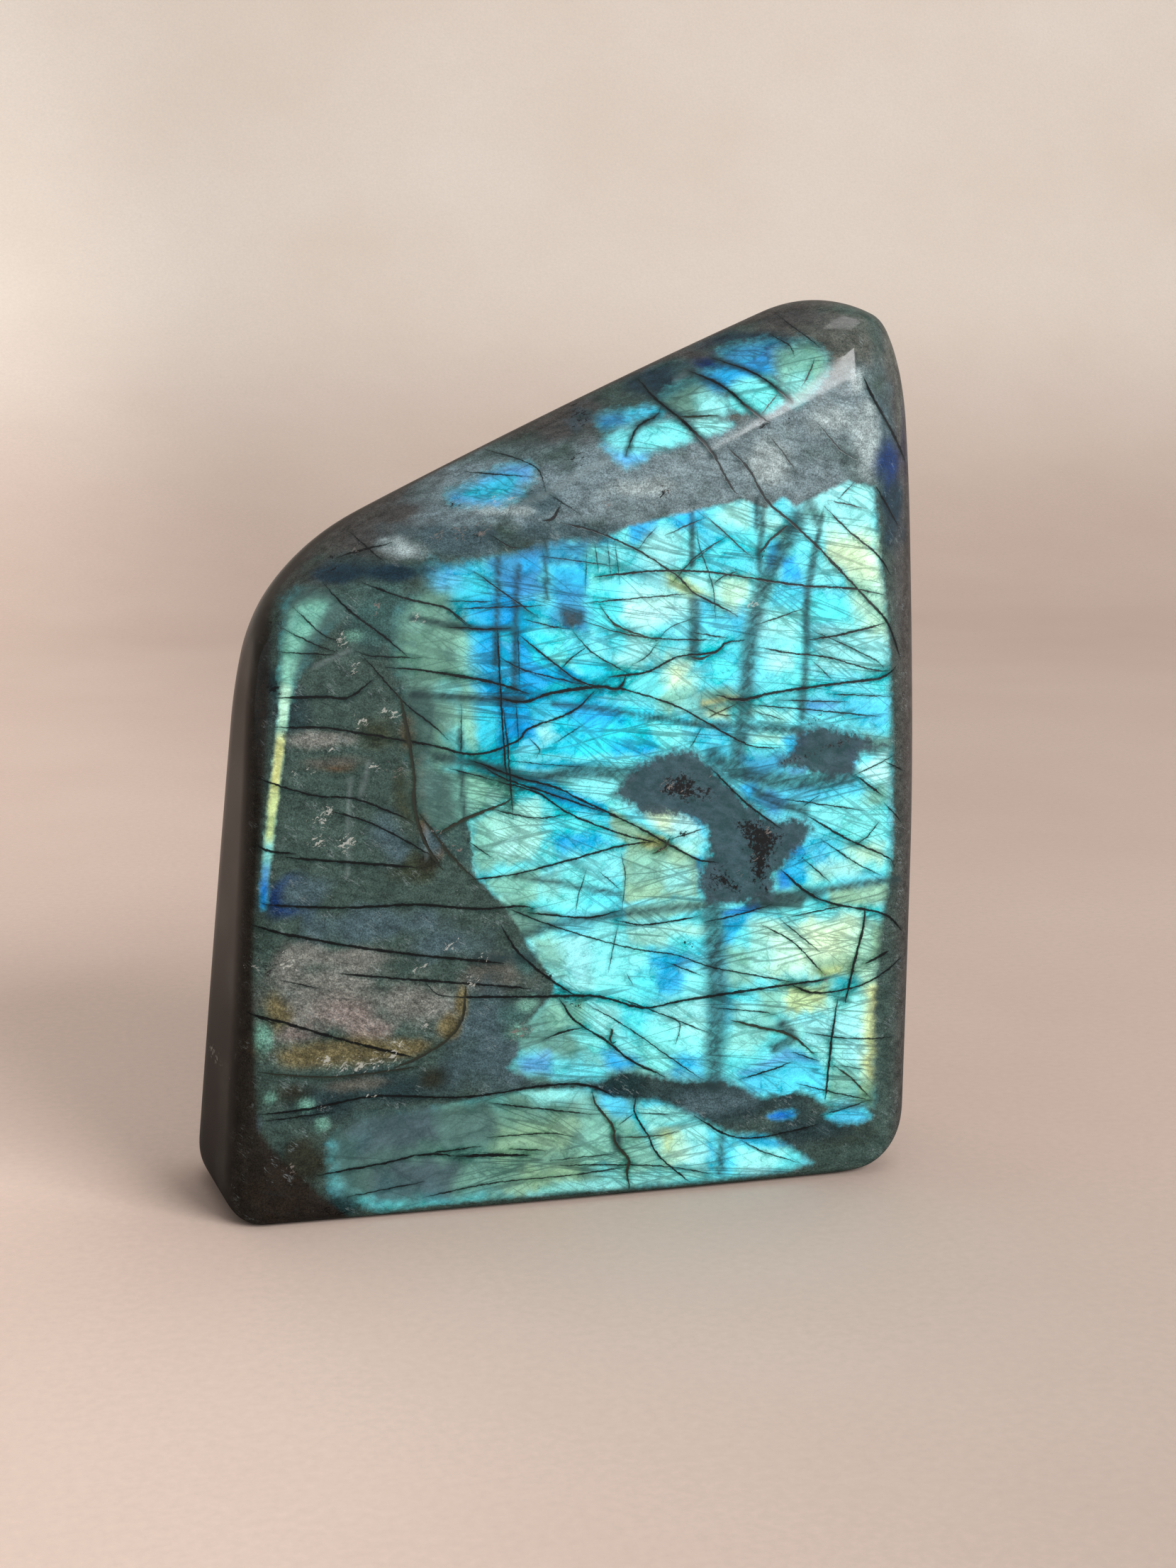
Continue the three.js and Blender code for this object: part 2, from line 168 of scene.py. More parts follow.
# Stretches of one colour, most of them between two cracks: colour, softness of the edge, outline
FLASH_CELLS = """
azure 1.5 -12.8,73 -6.4,74 -5.4,67 -6.4,60.6 -11.6,60.8 -12.6,66
azure 1.3 -10.4,61.5 -5,61.5 -4.6,55 -9.6,55
teal 1.3 -16.5,75.8 -12,76.2 -9.6,76 -9.8,69 -13,69.2 -16,71.5 -17,74
lilac 1.2 -17.4,75 -14.6,75.4 -14.2,73.4 -16.8,72.6
azure 1 -13,71.8 -10.2,72 -10.2,69 -12.4,69.2
azure .5 -9.6,72.4 -8,72.2 -8,68.6 -9.8,68.6
sky .5 -9.8,68 -8.2,68 -8.4,61.2 -9.6,61.6
azure .8 -9.4,66.5 -8.3,66.5 -8.4,62 -9.4,62
steel .9 -11,77 -5,77.4 -4.2,72.6 -7.6,71.8 -10.4,74
azure .6 -6.9,76 -5,76 -4.8,74.6 -6.9,74.6
steel .8 -7,78.4 2.6,78.6 3.4,78 -.5,75.8 -4,75.6 -7,76.4
azure .9 -4,75.6 0,75.6 .6,73 0,71.2 -3.4,71.6
teal .8 -6.8,71.2 -3.4,71 -3,69 -6.6,69.4
steel 1.8 -4,73.6 1,73.8 1.4,68 -3.8,67.8
ice .9 .6,77.2 5.6,78.4 5.6,73.4 1,73
azure .35 -7.4,67.6 -3.8,64.7 1.5,61.8 -3,62 -7.4,61
lagoon .9 -6.2,66.2 -4,64.6 -2.4,63.2 -5,63.4 -6.2,64.6
ice .35 -6.8,67.8 -1.2,68.1 1.5,66 4.8,63.4 3,62.6 -.6,63.2 -3.6,65
lagoon .9 -6.8,67.8 -3,67.6 -3,65.4 -5.4,66.2
cyan .9 -2.6,67.6 -.6,67.6 1.4,65.4 -.6,64.2 -3,65.8
snow 1.4 5,71 9,71.4 9.5,69 7,67.4 5,68.4
frost .4 1,68.1 9.6,66.7 9,64.6 6,63.4 4.8,63.6 1.2,66.6
cyan .9 .8,73 4.6,73 4.8,65.8 3,65 1,66.8
azure .5 -6.8,64.6 -1,63.4 -2,62.4 -6.8,61.6
lagoon .8 -1,64.6 3.4,64.2 4,62.4 0,62.4
azure .4 -9.5,60 -6.2,58.8 -6,57.6 -7,56 -9.2,55.6
teal .3 -6.9,60.1 -3.6,60.4 3.2,61 1.4,59.4 -1.6,58.8 -6.2,57.8
lagoon .35 -5.4,57.6 -1,58.2 2,59.6 13,57.8 12,55.4 8,53.8 0,53.4 -5,53.8 -5.8,56
azure 1.2 -3,60 4,59.4 4.6,56.8 0,56.4
azure 1 3,55 8,55 8,53.6 3,53.4
frost 1 -5.8,57 -4,57.4 -3,55.4 -5,54.4
aqua .7 9.8,60.6 13.4,57.8 2,60.4 4,61.4
ice .8 7.6,56.8 12.4,56.6 12.4,54.6 9,54.4
azure .9 5.5,80.2 9.6,80.8 8.6,78.6 6,77.6
azure .8 10.6,81 14.6,81.5 14,79.4 11.4,79.2
sky 1 14,80.8 17.4,77.6 15.6,76.4 14.2,76.8 13.8,79
frost 1.4 8,78.6 12,78.4 12.6,75.4 9,75 7,76.6
mint 1 16.4,81.6 20.6,83 20.8,79 18.6,79 17,80
cyan 1 14.8,76.4 18,78 20.4,78 20.2,74.4 16,74.2
lime .9 9.8,74.4 12,74 15.6,71.4 13.4,71 10,73
snow 1.4 5.6,71.2 12,70.8 12,68.8 6,68.6
sky .9 13.6,70.8 15.8,70.8 15.8,67.2 13.6,67
mint 1 22,81.4 24.6,79.8 24,78.2 22,79
azure .6 22.2,77 24,77.6 23.6,75 22.4,74.2
azure .5 24.1,76 25.6,75.8 26.9,73 24.2,73
sky .6 23.4,72.6 27,72.4 27,69.6 23,70
leaf 1 17,73.4 19.8,73.4 20,70.6 18,69.6 16.4,71
sky 1 15.6,69.4 19.6,69.4 19.6,67 15.6,66.8
frost 1 21.6,69 26,69.4 26.4,66 21.4,66
snow 1.4 22.6,65 25.4,65 25.2,62.4 22.8,62.6
cyan 1 28,71.6 32,70.8 33.4,67.4 28,66.8
frost .9 28,67.6 38,67.6 38.2,61.4 28,62
cyan 1 14.6,65.6 19.4,65.6 19,61.2 14.6,61
leaf 1.3 9.8,64.4 12.8,64.6 12.8,60.4 10,60.4
cream .8 10.8,63.4 12.2,63.2 12.2,61.4 11,61.6
moss .9 8.4,60.6 13,60.8 13,57.8 9,57.8
sage .9 12.8,60.4 18.4,61 18.6,57.8 13.4,57.2
honey .35 14.2,59.1 18.6,59.7 18.8,59.3 16.4,58.9 14.4,58.6
cream .5 14.6,57.8 17,58.2 17.4,56.6 15.6,57
mint 1 19.8,58.6 25,57.6 25,56.4 19.8,57.2
frost .6 30,84 35.8,84.2 36,78 31,79.4 29.4,81.6
leaf 1.4 30,79 37,78 37.2,71.6 34,71.8 30,75.6
cream 1.3 29.6,77.6 36,77.4 36.6,72.4 33.4,72.6 29.6,74.8
leaf 1 33,73.2 37.4,73 37.8,65.8 35,66.2 33,69.6
ice 1 27.8,76.6 31,74.4 33,72 28,72.4
peri .8 26.8,59.2 31,58.6 31,57.6 27,57.6
sky 1 31,59 38.2,58.6 38.2,54.4 34,55.6 31.6,57.4
sage .5 -24,54 -9,51.4 -8.4,49.2 -14.3,46.6 -17.4,44.6 -20,44 -24,48
pine .9 -23,53 -15.8,52.4 -15,47.4 -17.8,44.4 -23,46
moss 1.1 -14,51.6 -9,51 -8.6,49.6 -12.6,48
pine .5 -19,45 -14.4,46.6 -13.6,44.5 -13.2,41 -14,38 -17,40
moss .7 -13.6,46.6 -9,48.6 -6.6,48 -7,41.6 -13,40.4
mint 1.1 -11.4,48 -5,48.4 -4.6,42.2 -10.4,41.6
cyan 1.4 -5,48 2.4,45.4 3.8,43.4 -2,42 -5,42.2
azure 1 -4.4,44.4 1,44.2 2,43 -3,42.2
sky .35 -9,51.6 -3.4,50.8 3.6,47.6 4.2,44.6 -2,47 -6,49.4
azure .5 -6,50.2 -1,49 2.6,47 -2,47.6
ice .4 -3.4,51 6,51.2 5,49.4 6.6,47.2 4.8,46.6 .4,48.6 -3,50.2
teal .35 -7,53 -2,53 3,52.7 3,52.1 -7,52.3
olive .5 3,47.2 9,43.3 4.4,43.2 2.8,45
snow .8 7.8,47.2 14,46 13.6,43 10,43.2 7.6,45.4
cream .8 7.4,47 11,46.6 10.6,44 8,44.6
sky .4 8.6,47.7 12.4,47.4 14.4,45.4 14.6,43 13.6,44.6 11.4,46.6
mint .8 10,42.8 14,42.6 13.4,40.6 10.6,41.4
azure .5 12.4,41 14.2,40.8 14,39.2 12.6,39.6
moss .35 -12.4,39.6 -9.6,36.4 -6,36.8 -5.6,40.9
foam 1.2 -6.6,40.2 -3,40.8 -3,36.4 -6.4,36.8
ice .9 -3,41.2 4.2,42.8 4.6,39.4 4.2,35.8 -.4,35.2 -3,36.2
cyan 1.2 -.4,38 4.2,38 4.2,35.8 -.4,35.4
olive .4 4.7,43.2 9,43.4 13.6,40.6 13.4,36.2 4.5,35.9
moss 1.1 4.9,42 9.6,41.6 9.4,38.2 5,38
honey .6 6.4,43.6 9.4,43.4 9.2,42 6.8,42.4
foam .9 9.6,40 12.8,39.8 12.6,36.6 9,36.8
sage .4 -10,36.2 -6,36 -3,34.6 -8,32.4 -9.4,33.8
moss .35 4.6,35.3 12,36 15.6,35.2 10,33.7 4.6,33.6
frost .45 -7.2,32 0,32.6 3,33.8 3,27 -1,25.4 -4.4,27.8
moss 1.2 -7,33 -3.6,33 -3.4,28.6 -6,29
ice .9 0,33.6 3.6,34 6,32.8 8,29 4,26 1,26
mint .6 4.6,33.2 9,33.2 14.4,32.6 14.4,31.6 9,30.6 5,31
azure 1.1 7.8,30.2 11.6,29.8 13,27.6 11.4,24.8 8,24.8
cyan .8 9.8,31.4 14.6,31.6 14.6,28.6 11,29.6
cyan .8 5.6,27 8.2,27.4 8.4,24.4 6,24.2
ice .9 11.6,28 14.6,27.6 14.8,24.6 12,24.8
sky .8 13.6,56.2 17.8,55.4 18.2,52.2 15.6,52.2 13.4,54
steel .9 18.9,53 24.6,52.6 24.6,50 19.6,50
mint .6 19.8,55.4 26.6,54.8 24,53.6 20,54.4
azure .5 24.2,54.6 27.6,54.6 26.6,52.4 24.8,52.2
peri .5 24.6,50.9 27.4,51 27.2,49.8 25,49.8
lilac .4 32.5,53 33.3,53.2 33.6,50.6 32.6,50.4
sage .7 33.8,54.8 38.4,53.6 38.2,52 34.4,52.4
snow .4 32.9,50.2 37.6,52.2 38,48.6 36.2,48.4
azure .4 18.8,49.2 20.8,49.6 21.4,48.6 20,47.4
steel .8 20,47.4 22.4,49 25.4,47 23,45.2
sky .8 23.6,49 31.6,48.8 38,48.2 37.6,47.2 27,47 24,47.4
ice .5 26.4,46.2 37.4,47.4 37.2,41.4 33,42 29,44.4
moss .9 34.4,48.6 38.2,48.6 38.2,45.6 34.4,45.8
leaf 1 32.4,41.4 37.2,41.2 37,38.6 32.8,39.2
azure .5 24,38.4 25.2,41.8 27.4,41.4 26.8,37 24.6,36.4
royal .4 23.6,38.6 24.6,38.6 25.2,36.6 23.6,36.4
sky .8 27,42.6 30.6,42 30.4,39.2 27.4,39
mint .8 27,38.6 34,40 34,37.6 27.6,37
olive .5 30,36 38.2,36.6 38.2,33.8 30,33.8
pine .8 20.8,36.2 27.6,36.4 27,33.8 20.8,33.8
royal .3 16.4,34.1 20.8,34.9 21.4,34.4 20.4,33.8 16.6,33.5
azure .5 16.6,33.4 20.4,33.6 19.2,32.4 17.6,30 16.7,30
moss .9 17.2,30 20.4,29.4 20.6,25 17,25
mint .7 20,33 24,32.6 24,25.8 20,26
leaf 1.3 22,32 35,33.2 35,26 23,25.8
cream 1.8 26.4,31.6 32.4,31.6 32.4,27.4 27,27.4
olive .8 28.4,27.6 33,27.8 34,25.4 28,25.4
lime .5 29,26.4 31.4,26.6 31.6,25.4 29,25.4
olive 1 35.2,32 38,31.6 38,26.4 34.6,26.6
ice .5 -1.6,24.6 4.6,24.6 8.6,23 14.6,18 13.6,14.6 9,15 1,20.6
frost .9 -.8,24.2 3.4,24 4.6,20.6 2.4,20.2
cyan 1 3.8,23.8 7.6,23 7,19.4 4.6,19.6
frost .7 7.8,23.4 14.8,24.4 14.8,19 11,19.6
azure 1 10.6,17 13.6,16.6 13.6,14.6 10.4,14.8
sage 1 -9,22 -5.6,25 -3,25 -3,21 -6,19.4 -9,19
moss 1 -5,25 -.4,25 .4,21.4 -4.4,20.6
sage 1.2 -6.6,20.4 -2,21.2 1.6,20.2 5,17 2.4,16.4 -6,18
ice .9 -1.6,20.8 1.6,20.4 4.4,17.6 0,17.4
azure .9 1.6,18.8 6,17 6.8,16 2,16
peri .8 -8.4,18.4 -4.4,18.6 -4.6,16 -8,16.2
peri .8 18.4,14.6 24.8,16.8 29,15.4 29,12.6 22,11.8
sky .8 16.9,24 18.6,24 18.8,19.4 16.9,19.4
foam .8 18,23 21,22.4 23.8,19.4 20,16.6 17,17
moss .8 21,24.4 24.2,24 24.6,20.6 21.6,21
lime 1 24.2,25 30,24.6 30,21 25,21
frost .8 24,20 36,21 36,14 30,14 25.4,17.2
moss 1 29.8,13.4 33.4,13.4 33.4,9.6 29.8,9.6
leaf .8 34,27 37,27 36.6,11 34,11
straw .8 34.9,24 36.8,24 36.4,12 35,12
olive .8 33.6,12.4 36.4,12.4 36.4,8 33.8,8
sky .5 1.6,14 4.8,12.4 5.4,9.8 3.4,9.8 1,12
moss .5 3,9.4 5.4,9.4 8.6,4.6 5.4,1 4.6,3.6
foam .5 6,11.6 8.6,11.4 13.4,9.4 8,8.4 6.6,8.8
teal .4 6.6,12 8.8,11.9 9.4,11.1 6.8,11
leaf .8 7.6,7.9 12,8.2 13.2,3.6 9.8,3.2
lime .7 8.8,8 10.2,8 10.2,5.6 9.2,5.4
frost .8 11.8,8.6 15,8.2 15,2 12.4,2.4
sky .4 14.6,7.6 15.6,7.4 15.4,1.6 14.8,1.6
sky .6 16.3,6.8 18.6,6.6 18.4,1.6 16.2,1.4
frost .9 18.8,4.8 24.8,4.6 23.4,1.8 18.6,1.6
azure .6 18.6,6.7 22.4,6.2 25.8,4.4 22,5 19,5.6
sage 1.4 -17,12.4 1,12 3,8 1,2.6 -17,2.6
olive 1.2 -12,9.6 -2,10.6 -2,7 -12,5.6
moss 1.2 -1,11 5,9.6 4,4.6 -1,4.6
pine 1.2 -22,13.4 -11.6,13.6 -10.6,8.6 -22,8
olive .9 -10,5 -1,5 -1,2 -10,2
foam .8 -9.6,14.4 -4,14.6 -1,13 -6,12.4
sage 1.2 -18,6.4 -8,6 -8,3 -18,3
slate 1 -29,13 -18,14 -18,9 -29,8
slate 1 -26,6.6 -15,7 -17,2 -26,2
spruce .7 -29.4,10.4 -27.6,10.4 -27.8,4.4 -29,4.6
foam .6 -6,2.6 14,2.7 14,1.4 -8,1.2
"""
# Spots of colour in the stone between; the ash and silver spots on the top front bevel and its crease are
# partly the stone's grey band and partly a painted sheen
BODY_SPOTS = """
ash 0,83.5,24,4.5 20,87,14,7 -18,80.6,8,2.4 30,92,8,7 8,86,10,4
bark 30,101,7,4 -26,80,6,4 -11,28,4,2.4 18,93,3,2
rim -26,80,8,5 -24,84,8,4 -4,92,10,3 12,98,8,2 26,104,7,2 -33,76,5,4
rust -19.2,51.4,1.2,2.6 -17.4,43.4,1.2,1.6 -20.6,57,.8,2 -18.8,46.6,.8,1.6 -28.6,53.4,2.4,.7
loam -20.4,41.4,3,2 -24,57,2,2 30,6,5,2 33,40,2,2 -21,50,1.6,5
slate -17.6,44.4,1.6,2 -23,45,2,3 -14,78.4,7,1.6 -1,79.2,6,1.2 -4.4,82.6,3,1.6
murk -22,16,9,2.4 -32,15,5,3 3,12.6,8,3.4 16,11,12,3 28,6.5,6,2.4 -34,60,2.4,3 -24,69,4,2 -25,75.4,3.6,1.4
slate -12,18,6,4 -17,32.5,5,2 16,11,5,1.6 38,90,3,5 -12,23,5,4 -25,35,8,2 3,36,2,2
peat 4,14,3.4,2.6 -36,6,4,4 -35.5,63,1,2 -33,2,8,2.4
earth -36,4,4,5 -33,8,3,3 -18.8,16.6,2,1.6 -35,16,3,1.4 -18.4,42,1.4,1
spruce -23,70,6,3.6 -14,97,3,3 14,96,4,2 -8.6,23.4,2.4,2.4 -7.4,30,1.4,2
sage -8.4,21.6,1.4,1 -7.6,24.6,1.4,1
night -22,75,7,.9 -27,75,2,1 -28.5,74.4,2,.8 39.5,81,2.4,5 12,95.5,4,2 22,100.5,5,1.2 0,13,4,1
silver 31,91.5,3.4,2 35,89,2.2,4 22.5,87,3,2.6 34,96,1,1.4 -20,77.4,2.4,1.1 7,84,4,1.2 -9,81.6,3,.6
stone -30,70,3,3
navy 39,86.5,2.6,2.4 -35.2,38.6,2.8,2.2 22,99.2,3,.8 19,97.8,2.4,.8
slate -33,39,3,1.6 -39.2,13,.7,1
sand -31,28,8,4 -22,26,6,3 -31,56.6,3.6,1 -29,31.5,8,1 -35,30,3,3
mauve -28,25,4,2 -25.6,22.8,2.4,1.4 -34,23,3,1
gold -30,20.6,9,1.6 -20.5,20.5,2.6,1 -16.6,22.6,1.4,1.4 -36.6,26,1.6,3 -15,25.4,.8,2
bark -29,54,4,.7 42,92,1.4,4 41,99,2,3 -28,16.6,5,.8
sage -37.8,22.6,1,2.2 -33.4,14.6,1.4,.8 -37.4,15.6,1,.8 -31.6,12.1,1,.9 -26.6,68.2,1.2,.8
plum 12,100.6,8,1.2 42.4,88,1,5 -4,94.4,8,1 -20,87,6,1
"""
# Where the dark left side begins: heights, and how far to the left of the middle
SIDE_HEIGHTS = (0, 4, 8, 12, 17, 30, 36.4, 42, 50, 61, 66, 70, 74, 80)
SIDE_REACH = (28, 32, 36, 38.6, 38.8, 38.7, 38.3, 37.7, 36.9, 35.9, 35.6, 34.9, 33.4, 31)
# Small flecks: x, z, radius
PALE_FLECKS = """
-23,59.5,.6 -22.2,59.2,.5 -25.8,58.4,.5 -26.8,64.6,.4 -26.2,64.8,.3 -30.9,47.2,.8 -30,48.3,.7 -29.4,48.2,.4
-28.4,44.4,.8 -27.6,44.9,.6 -31,44.8,.7 -9.4,82.8,.4 -16.4,32.4,.6 -13.6,28,.6 -20,29.6,.5 -12.3,30.4,.4
20.6,70.6,.4 20.4,69.8,.3 -38.7,31,.4 -35.4,31.4,.7 -34.2,30.2,.5 -22.6,20.6,.5 -25,19.1,.8 -27,18.8,.8
-29,18.9,.7 -23.3,19.3,.6 -31,19.4,.7 -18.4,24.6,.5 -19.5,23,.5 -31.4,13.8,.3 -25.6,15.2,.4 -42.6,17.6,.4
-32,53.2,.3 -33.4,52.8,.3 -27.6,67.6,.6 -19.4,69.6,.5 -29.4,55.7,.5 -24.6,53.4,.4 -7.8,83,.4
"""
TAN_FLECKS = """
9.9,49.6,.6 15.2,50.6,.3 -13.7,79.2,.6 -11.2,79.4,.5 -15.9,78.7,.5 3.2,82.2,.4 -23.6,71.1,.5 10.6,83.9,.3
22.3,43.4,.4 20.9,40.4,.4 29.8,25.4,.4 -8.7,21.4,.7 -7.6,21.7,.5 -9.3,20.9,.4 -17.5,45.6,.3 -15,43.2,.4
-16.6,44,.3 -21.4,52.6,.3 -22.6,53,.3 -35.3,6.9,.4 8.7,42.1,.4 16.2,58.1,.3 -24.6,77,.4 12.2,49,.3
18.8,38.8,.3
"""
BLACK_FLECKS = """
.5,87.4,.4 -27.3,76.2,.5 -24.3,77.2,.4 2.5,92.4,.6 -11.9,78.7,.4 12.4,30.5,.4 21.4,76.1,.4 18.9,74.2,.4
-4.6,27.7,.4 -2.2,25.1,.5 26.4,40.2,.5 -31.4,1.8,.7 -29.6,1.2,.5 -35.6,62.4,.8 9.5,43,.4 11.7,43.7,.4
2.8,19,.4 -35.4,68,.6 -35,69.4,.4 -28,75,.5 2,91.4,.4 10,83.6,.5 25.4,91.6,.4 22,91,.4
"""
# Uneven stretches with a grain of their own: flaky patches, soft inclusions and clusters of black grains
FLAKY_SHAPES = (
    "-14.5,27.5 -15,23.6 -16.8,21.1 -20.5,19.1 -23.2,18.2 -30.9,18.1 -38.6,19.5 -38.6,34 -33,32.5 -22,29.6",
    "-34.9,57.8 -31.4,57.6 -29,56.8 -26.6,55.2 -28,54.7 -33.5,54.6 -34.4,56",
    "-17.7,45.1 -14,47 -13.2,39.7",
    "-9.4,22.4 -6.8,22 -7.2,20.6 -9.4,20.8",
)
INCLUSION_SHAPES = (
    "5.4,51.1 6.7,52.2 10.8,53.5 13.1,53.4 15.3,51.3 19.8,46.8 23,44.5 26.6,44.7 27.8,43.4 24.6,39.7 23,38.4 "
    "22.8,35.2 14.7,35.2 13.5,38.1 15.1,41.1 14.7,44.7 11.3,46.1 6.5,46.3 6.3,47.2 3.3,48.8",
    "26,55 28.9,55.6 33.5,54.5 37.8,52.7 34.1,52.5 33.5,51.3 32.8,50 30.3,49.5 26.6,50.9 23.7,51.5 25.3,52.7",
    "-2.2,69.2 -1.5,69.9 -.5,69.5 -.7,68.8 -1.6,68.6",
    "-11.8,79.7 -9.9,79.5 -9.9,79 -11.8,79.1",
    "1.2,90.4 1.2,91.2 3,92.8 3.8,92.2 2.4,91",
)
GRAIN_SHAPES = (
    "8.5,49.3 9.7,50.4 12,51.3 13.3,50.4 13.5,49.5 15.4,48.8 15.8,47.9 12.4,47.5 9.9,48.1",
    "18,44.7 19.6,45.4 22.1,44.5 24.4,42.9 23.2,40.9 22.1,37.2 23,35.6 19.8,37.9 19.8,41.1",
    "14.8,38.8 16.4,39.7 18.9,37.2 18.7,36.1 15.7,37.2 14.8,36.5",
    "29.4,52.4 31.6,53.2 32.8,54 33.6,54 33.2,54.9 31.6,54 29.4,53.3",
    "23.7,51.4 27.8,52.1 29,52 28,52.9 26.6,52.5 23.7,52",
    "27.3,56 28.9,55.9 28.6,56.8 27.4,56.7",
    "30.5,56.5 31.2,55.2 31.7,55.6 30.9,56.7",
    "-38.1,30 -37.6,31.4 -36.6,31.2 -36.7,29.9",
    "-14.5,82.2 -13.7,82.5 -13.1,81.9 -14,81.5",
    "1.3,90.6 2,91.6 3.4,92.6 3.6,92 2.4,91.2",
    "9.4,83.6 10.4,83.9 10.8,83.3 9.8,83.1",
    "-2.4,24.7 -1.4,25 -.2,24.5 -1.2,24",
    "-1.9,69.3 -1,69.8 -.3,69.4 -1.1,69.1",
    "9.1,43.1 9.8,43.2 9.9,42.7 9.2,42.6",
    "11.2,43.9 12,44 12.1,43.6 11.3,43.5",
)

# Soft dark bands under the polish: width in mm, then the line
SOFT_BANDS = """
.7 -20,70 -16.5,69.2 -13,68.6 -8.3,68.4
1.8 -2.2,70 -.4,69.4
.7 13.3,80.8 13.2,75
.6 21.2,82.6 21.2,79
1.4 27.6,82 28.8,79.6
.7 19.4,57.4 19.4,55
.7 26.5,60.2 26.5,56.6
2.2 26.6,80.6 24.8,77.5 22.5,73.6 21,69.3 20,64.7 19.4,57.5 18,50.5
.9 15.3,97.1 17.8,95.6 20.5,92.9 22.8,91.3
.8 18.2,98.6 21.6,97 24.6,94.6 25.7,93.6
.8 9.9,96.1 10.8,93.8 13.3,90.9 16,87.7
.6 5.8,87.7 7.6,90.6 10.4,92.2
.8 21.8,81.3 21.8,78.6 21.4,76.3 21.6,74
.6 29.4,80.6 28.5,77
.9 28.5,77 27.3,70.6 27.2,64.7 26.6,57
1.4 13.3,71 13.5,69.3 13.3,64.7
.6 -9.8,76.3 -9.9,71.8 -10.4,64.3
.7 -7.3,75.4 -7.7,72.9 -8.2,61.5
.5 -4.2,78.4 -4.2,71.5
.5 -14.6,57 -14.4,48 -14,44.3
.8 -20,61.3 -13,60.7 -7.1,60.2
1.2 -17.5,54.2 -13,53.1 -7,51.5 -3.3,51.3
1.9 -3.3,51.3 0,51.7 5.6,51.1
.6 -3.7,59.6 4,58.5 11.3,57 16,56.2
1 16,56.4 21.2,55.9 26.6,55.2
2.2 15.3,52.9 17.5,51.3 20.5,50 27.1,49 32.8,49.5
1.2 20.6,48.6 23.6,46.8 27,45.6
1 -7.6,32.9 -2.4,34 6.7,34.8 16,35.1
.9 22.8,35.4 27.5,35.8 35.7,36.5 39.4,36.5
3 15.3,35 15.6,30 16,24 15.6,18
2.6 15.9,21 15.6,18 15.5,13
1.5 20,34.8 24,35 29,35.6
.9 16.4,6.5 16.3,2
.6 -8.3,40 -1.9,38.4 4.2,37
1.2 3.4,7.8 3.5,6.2
1.4 24,20 25.5,18.2 23,17
1.2 -13,30.4 -6.2,30.2
"""

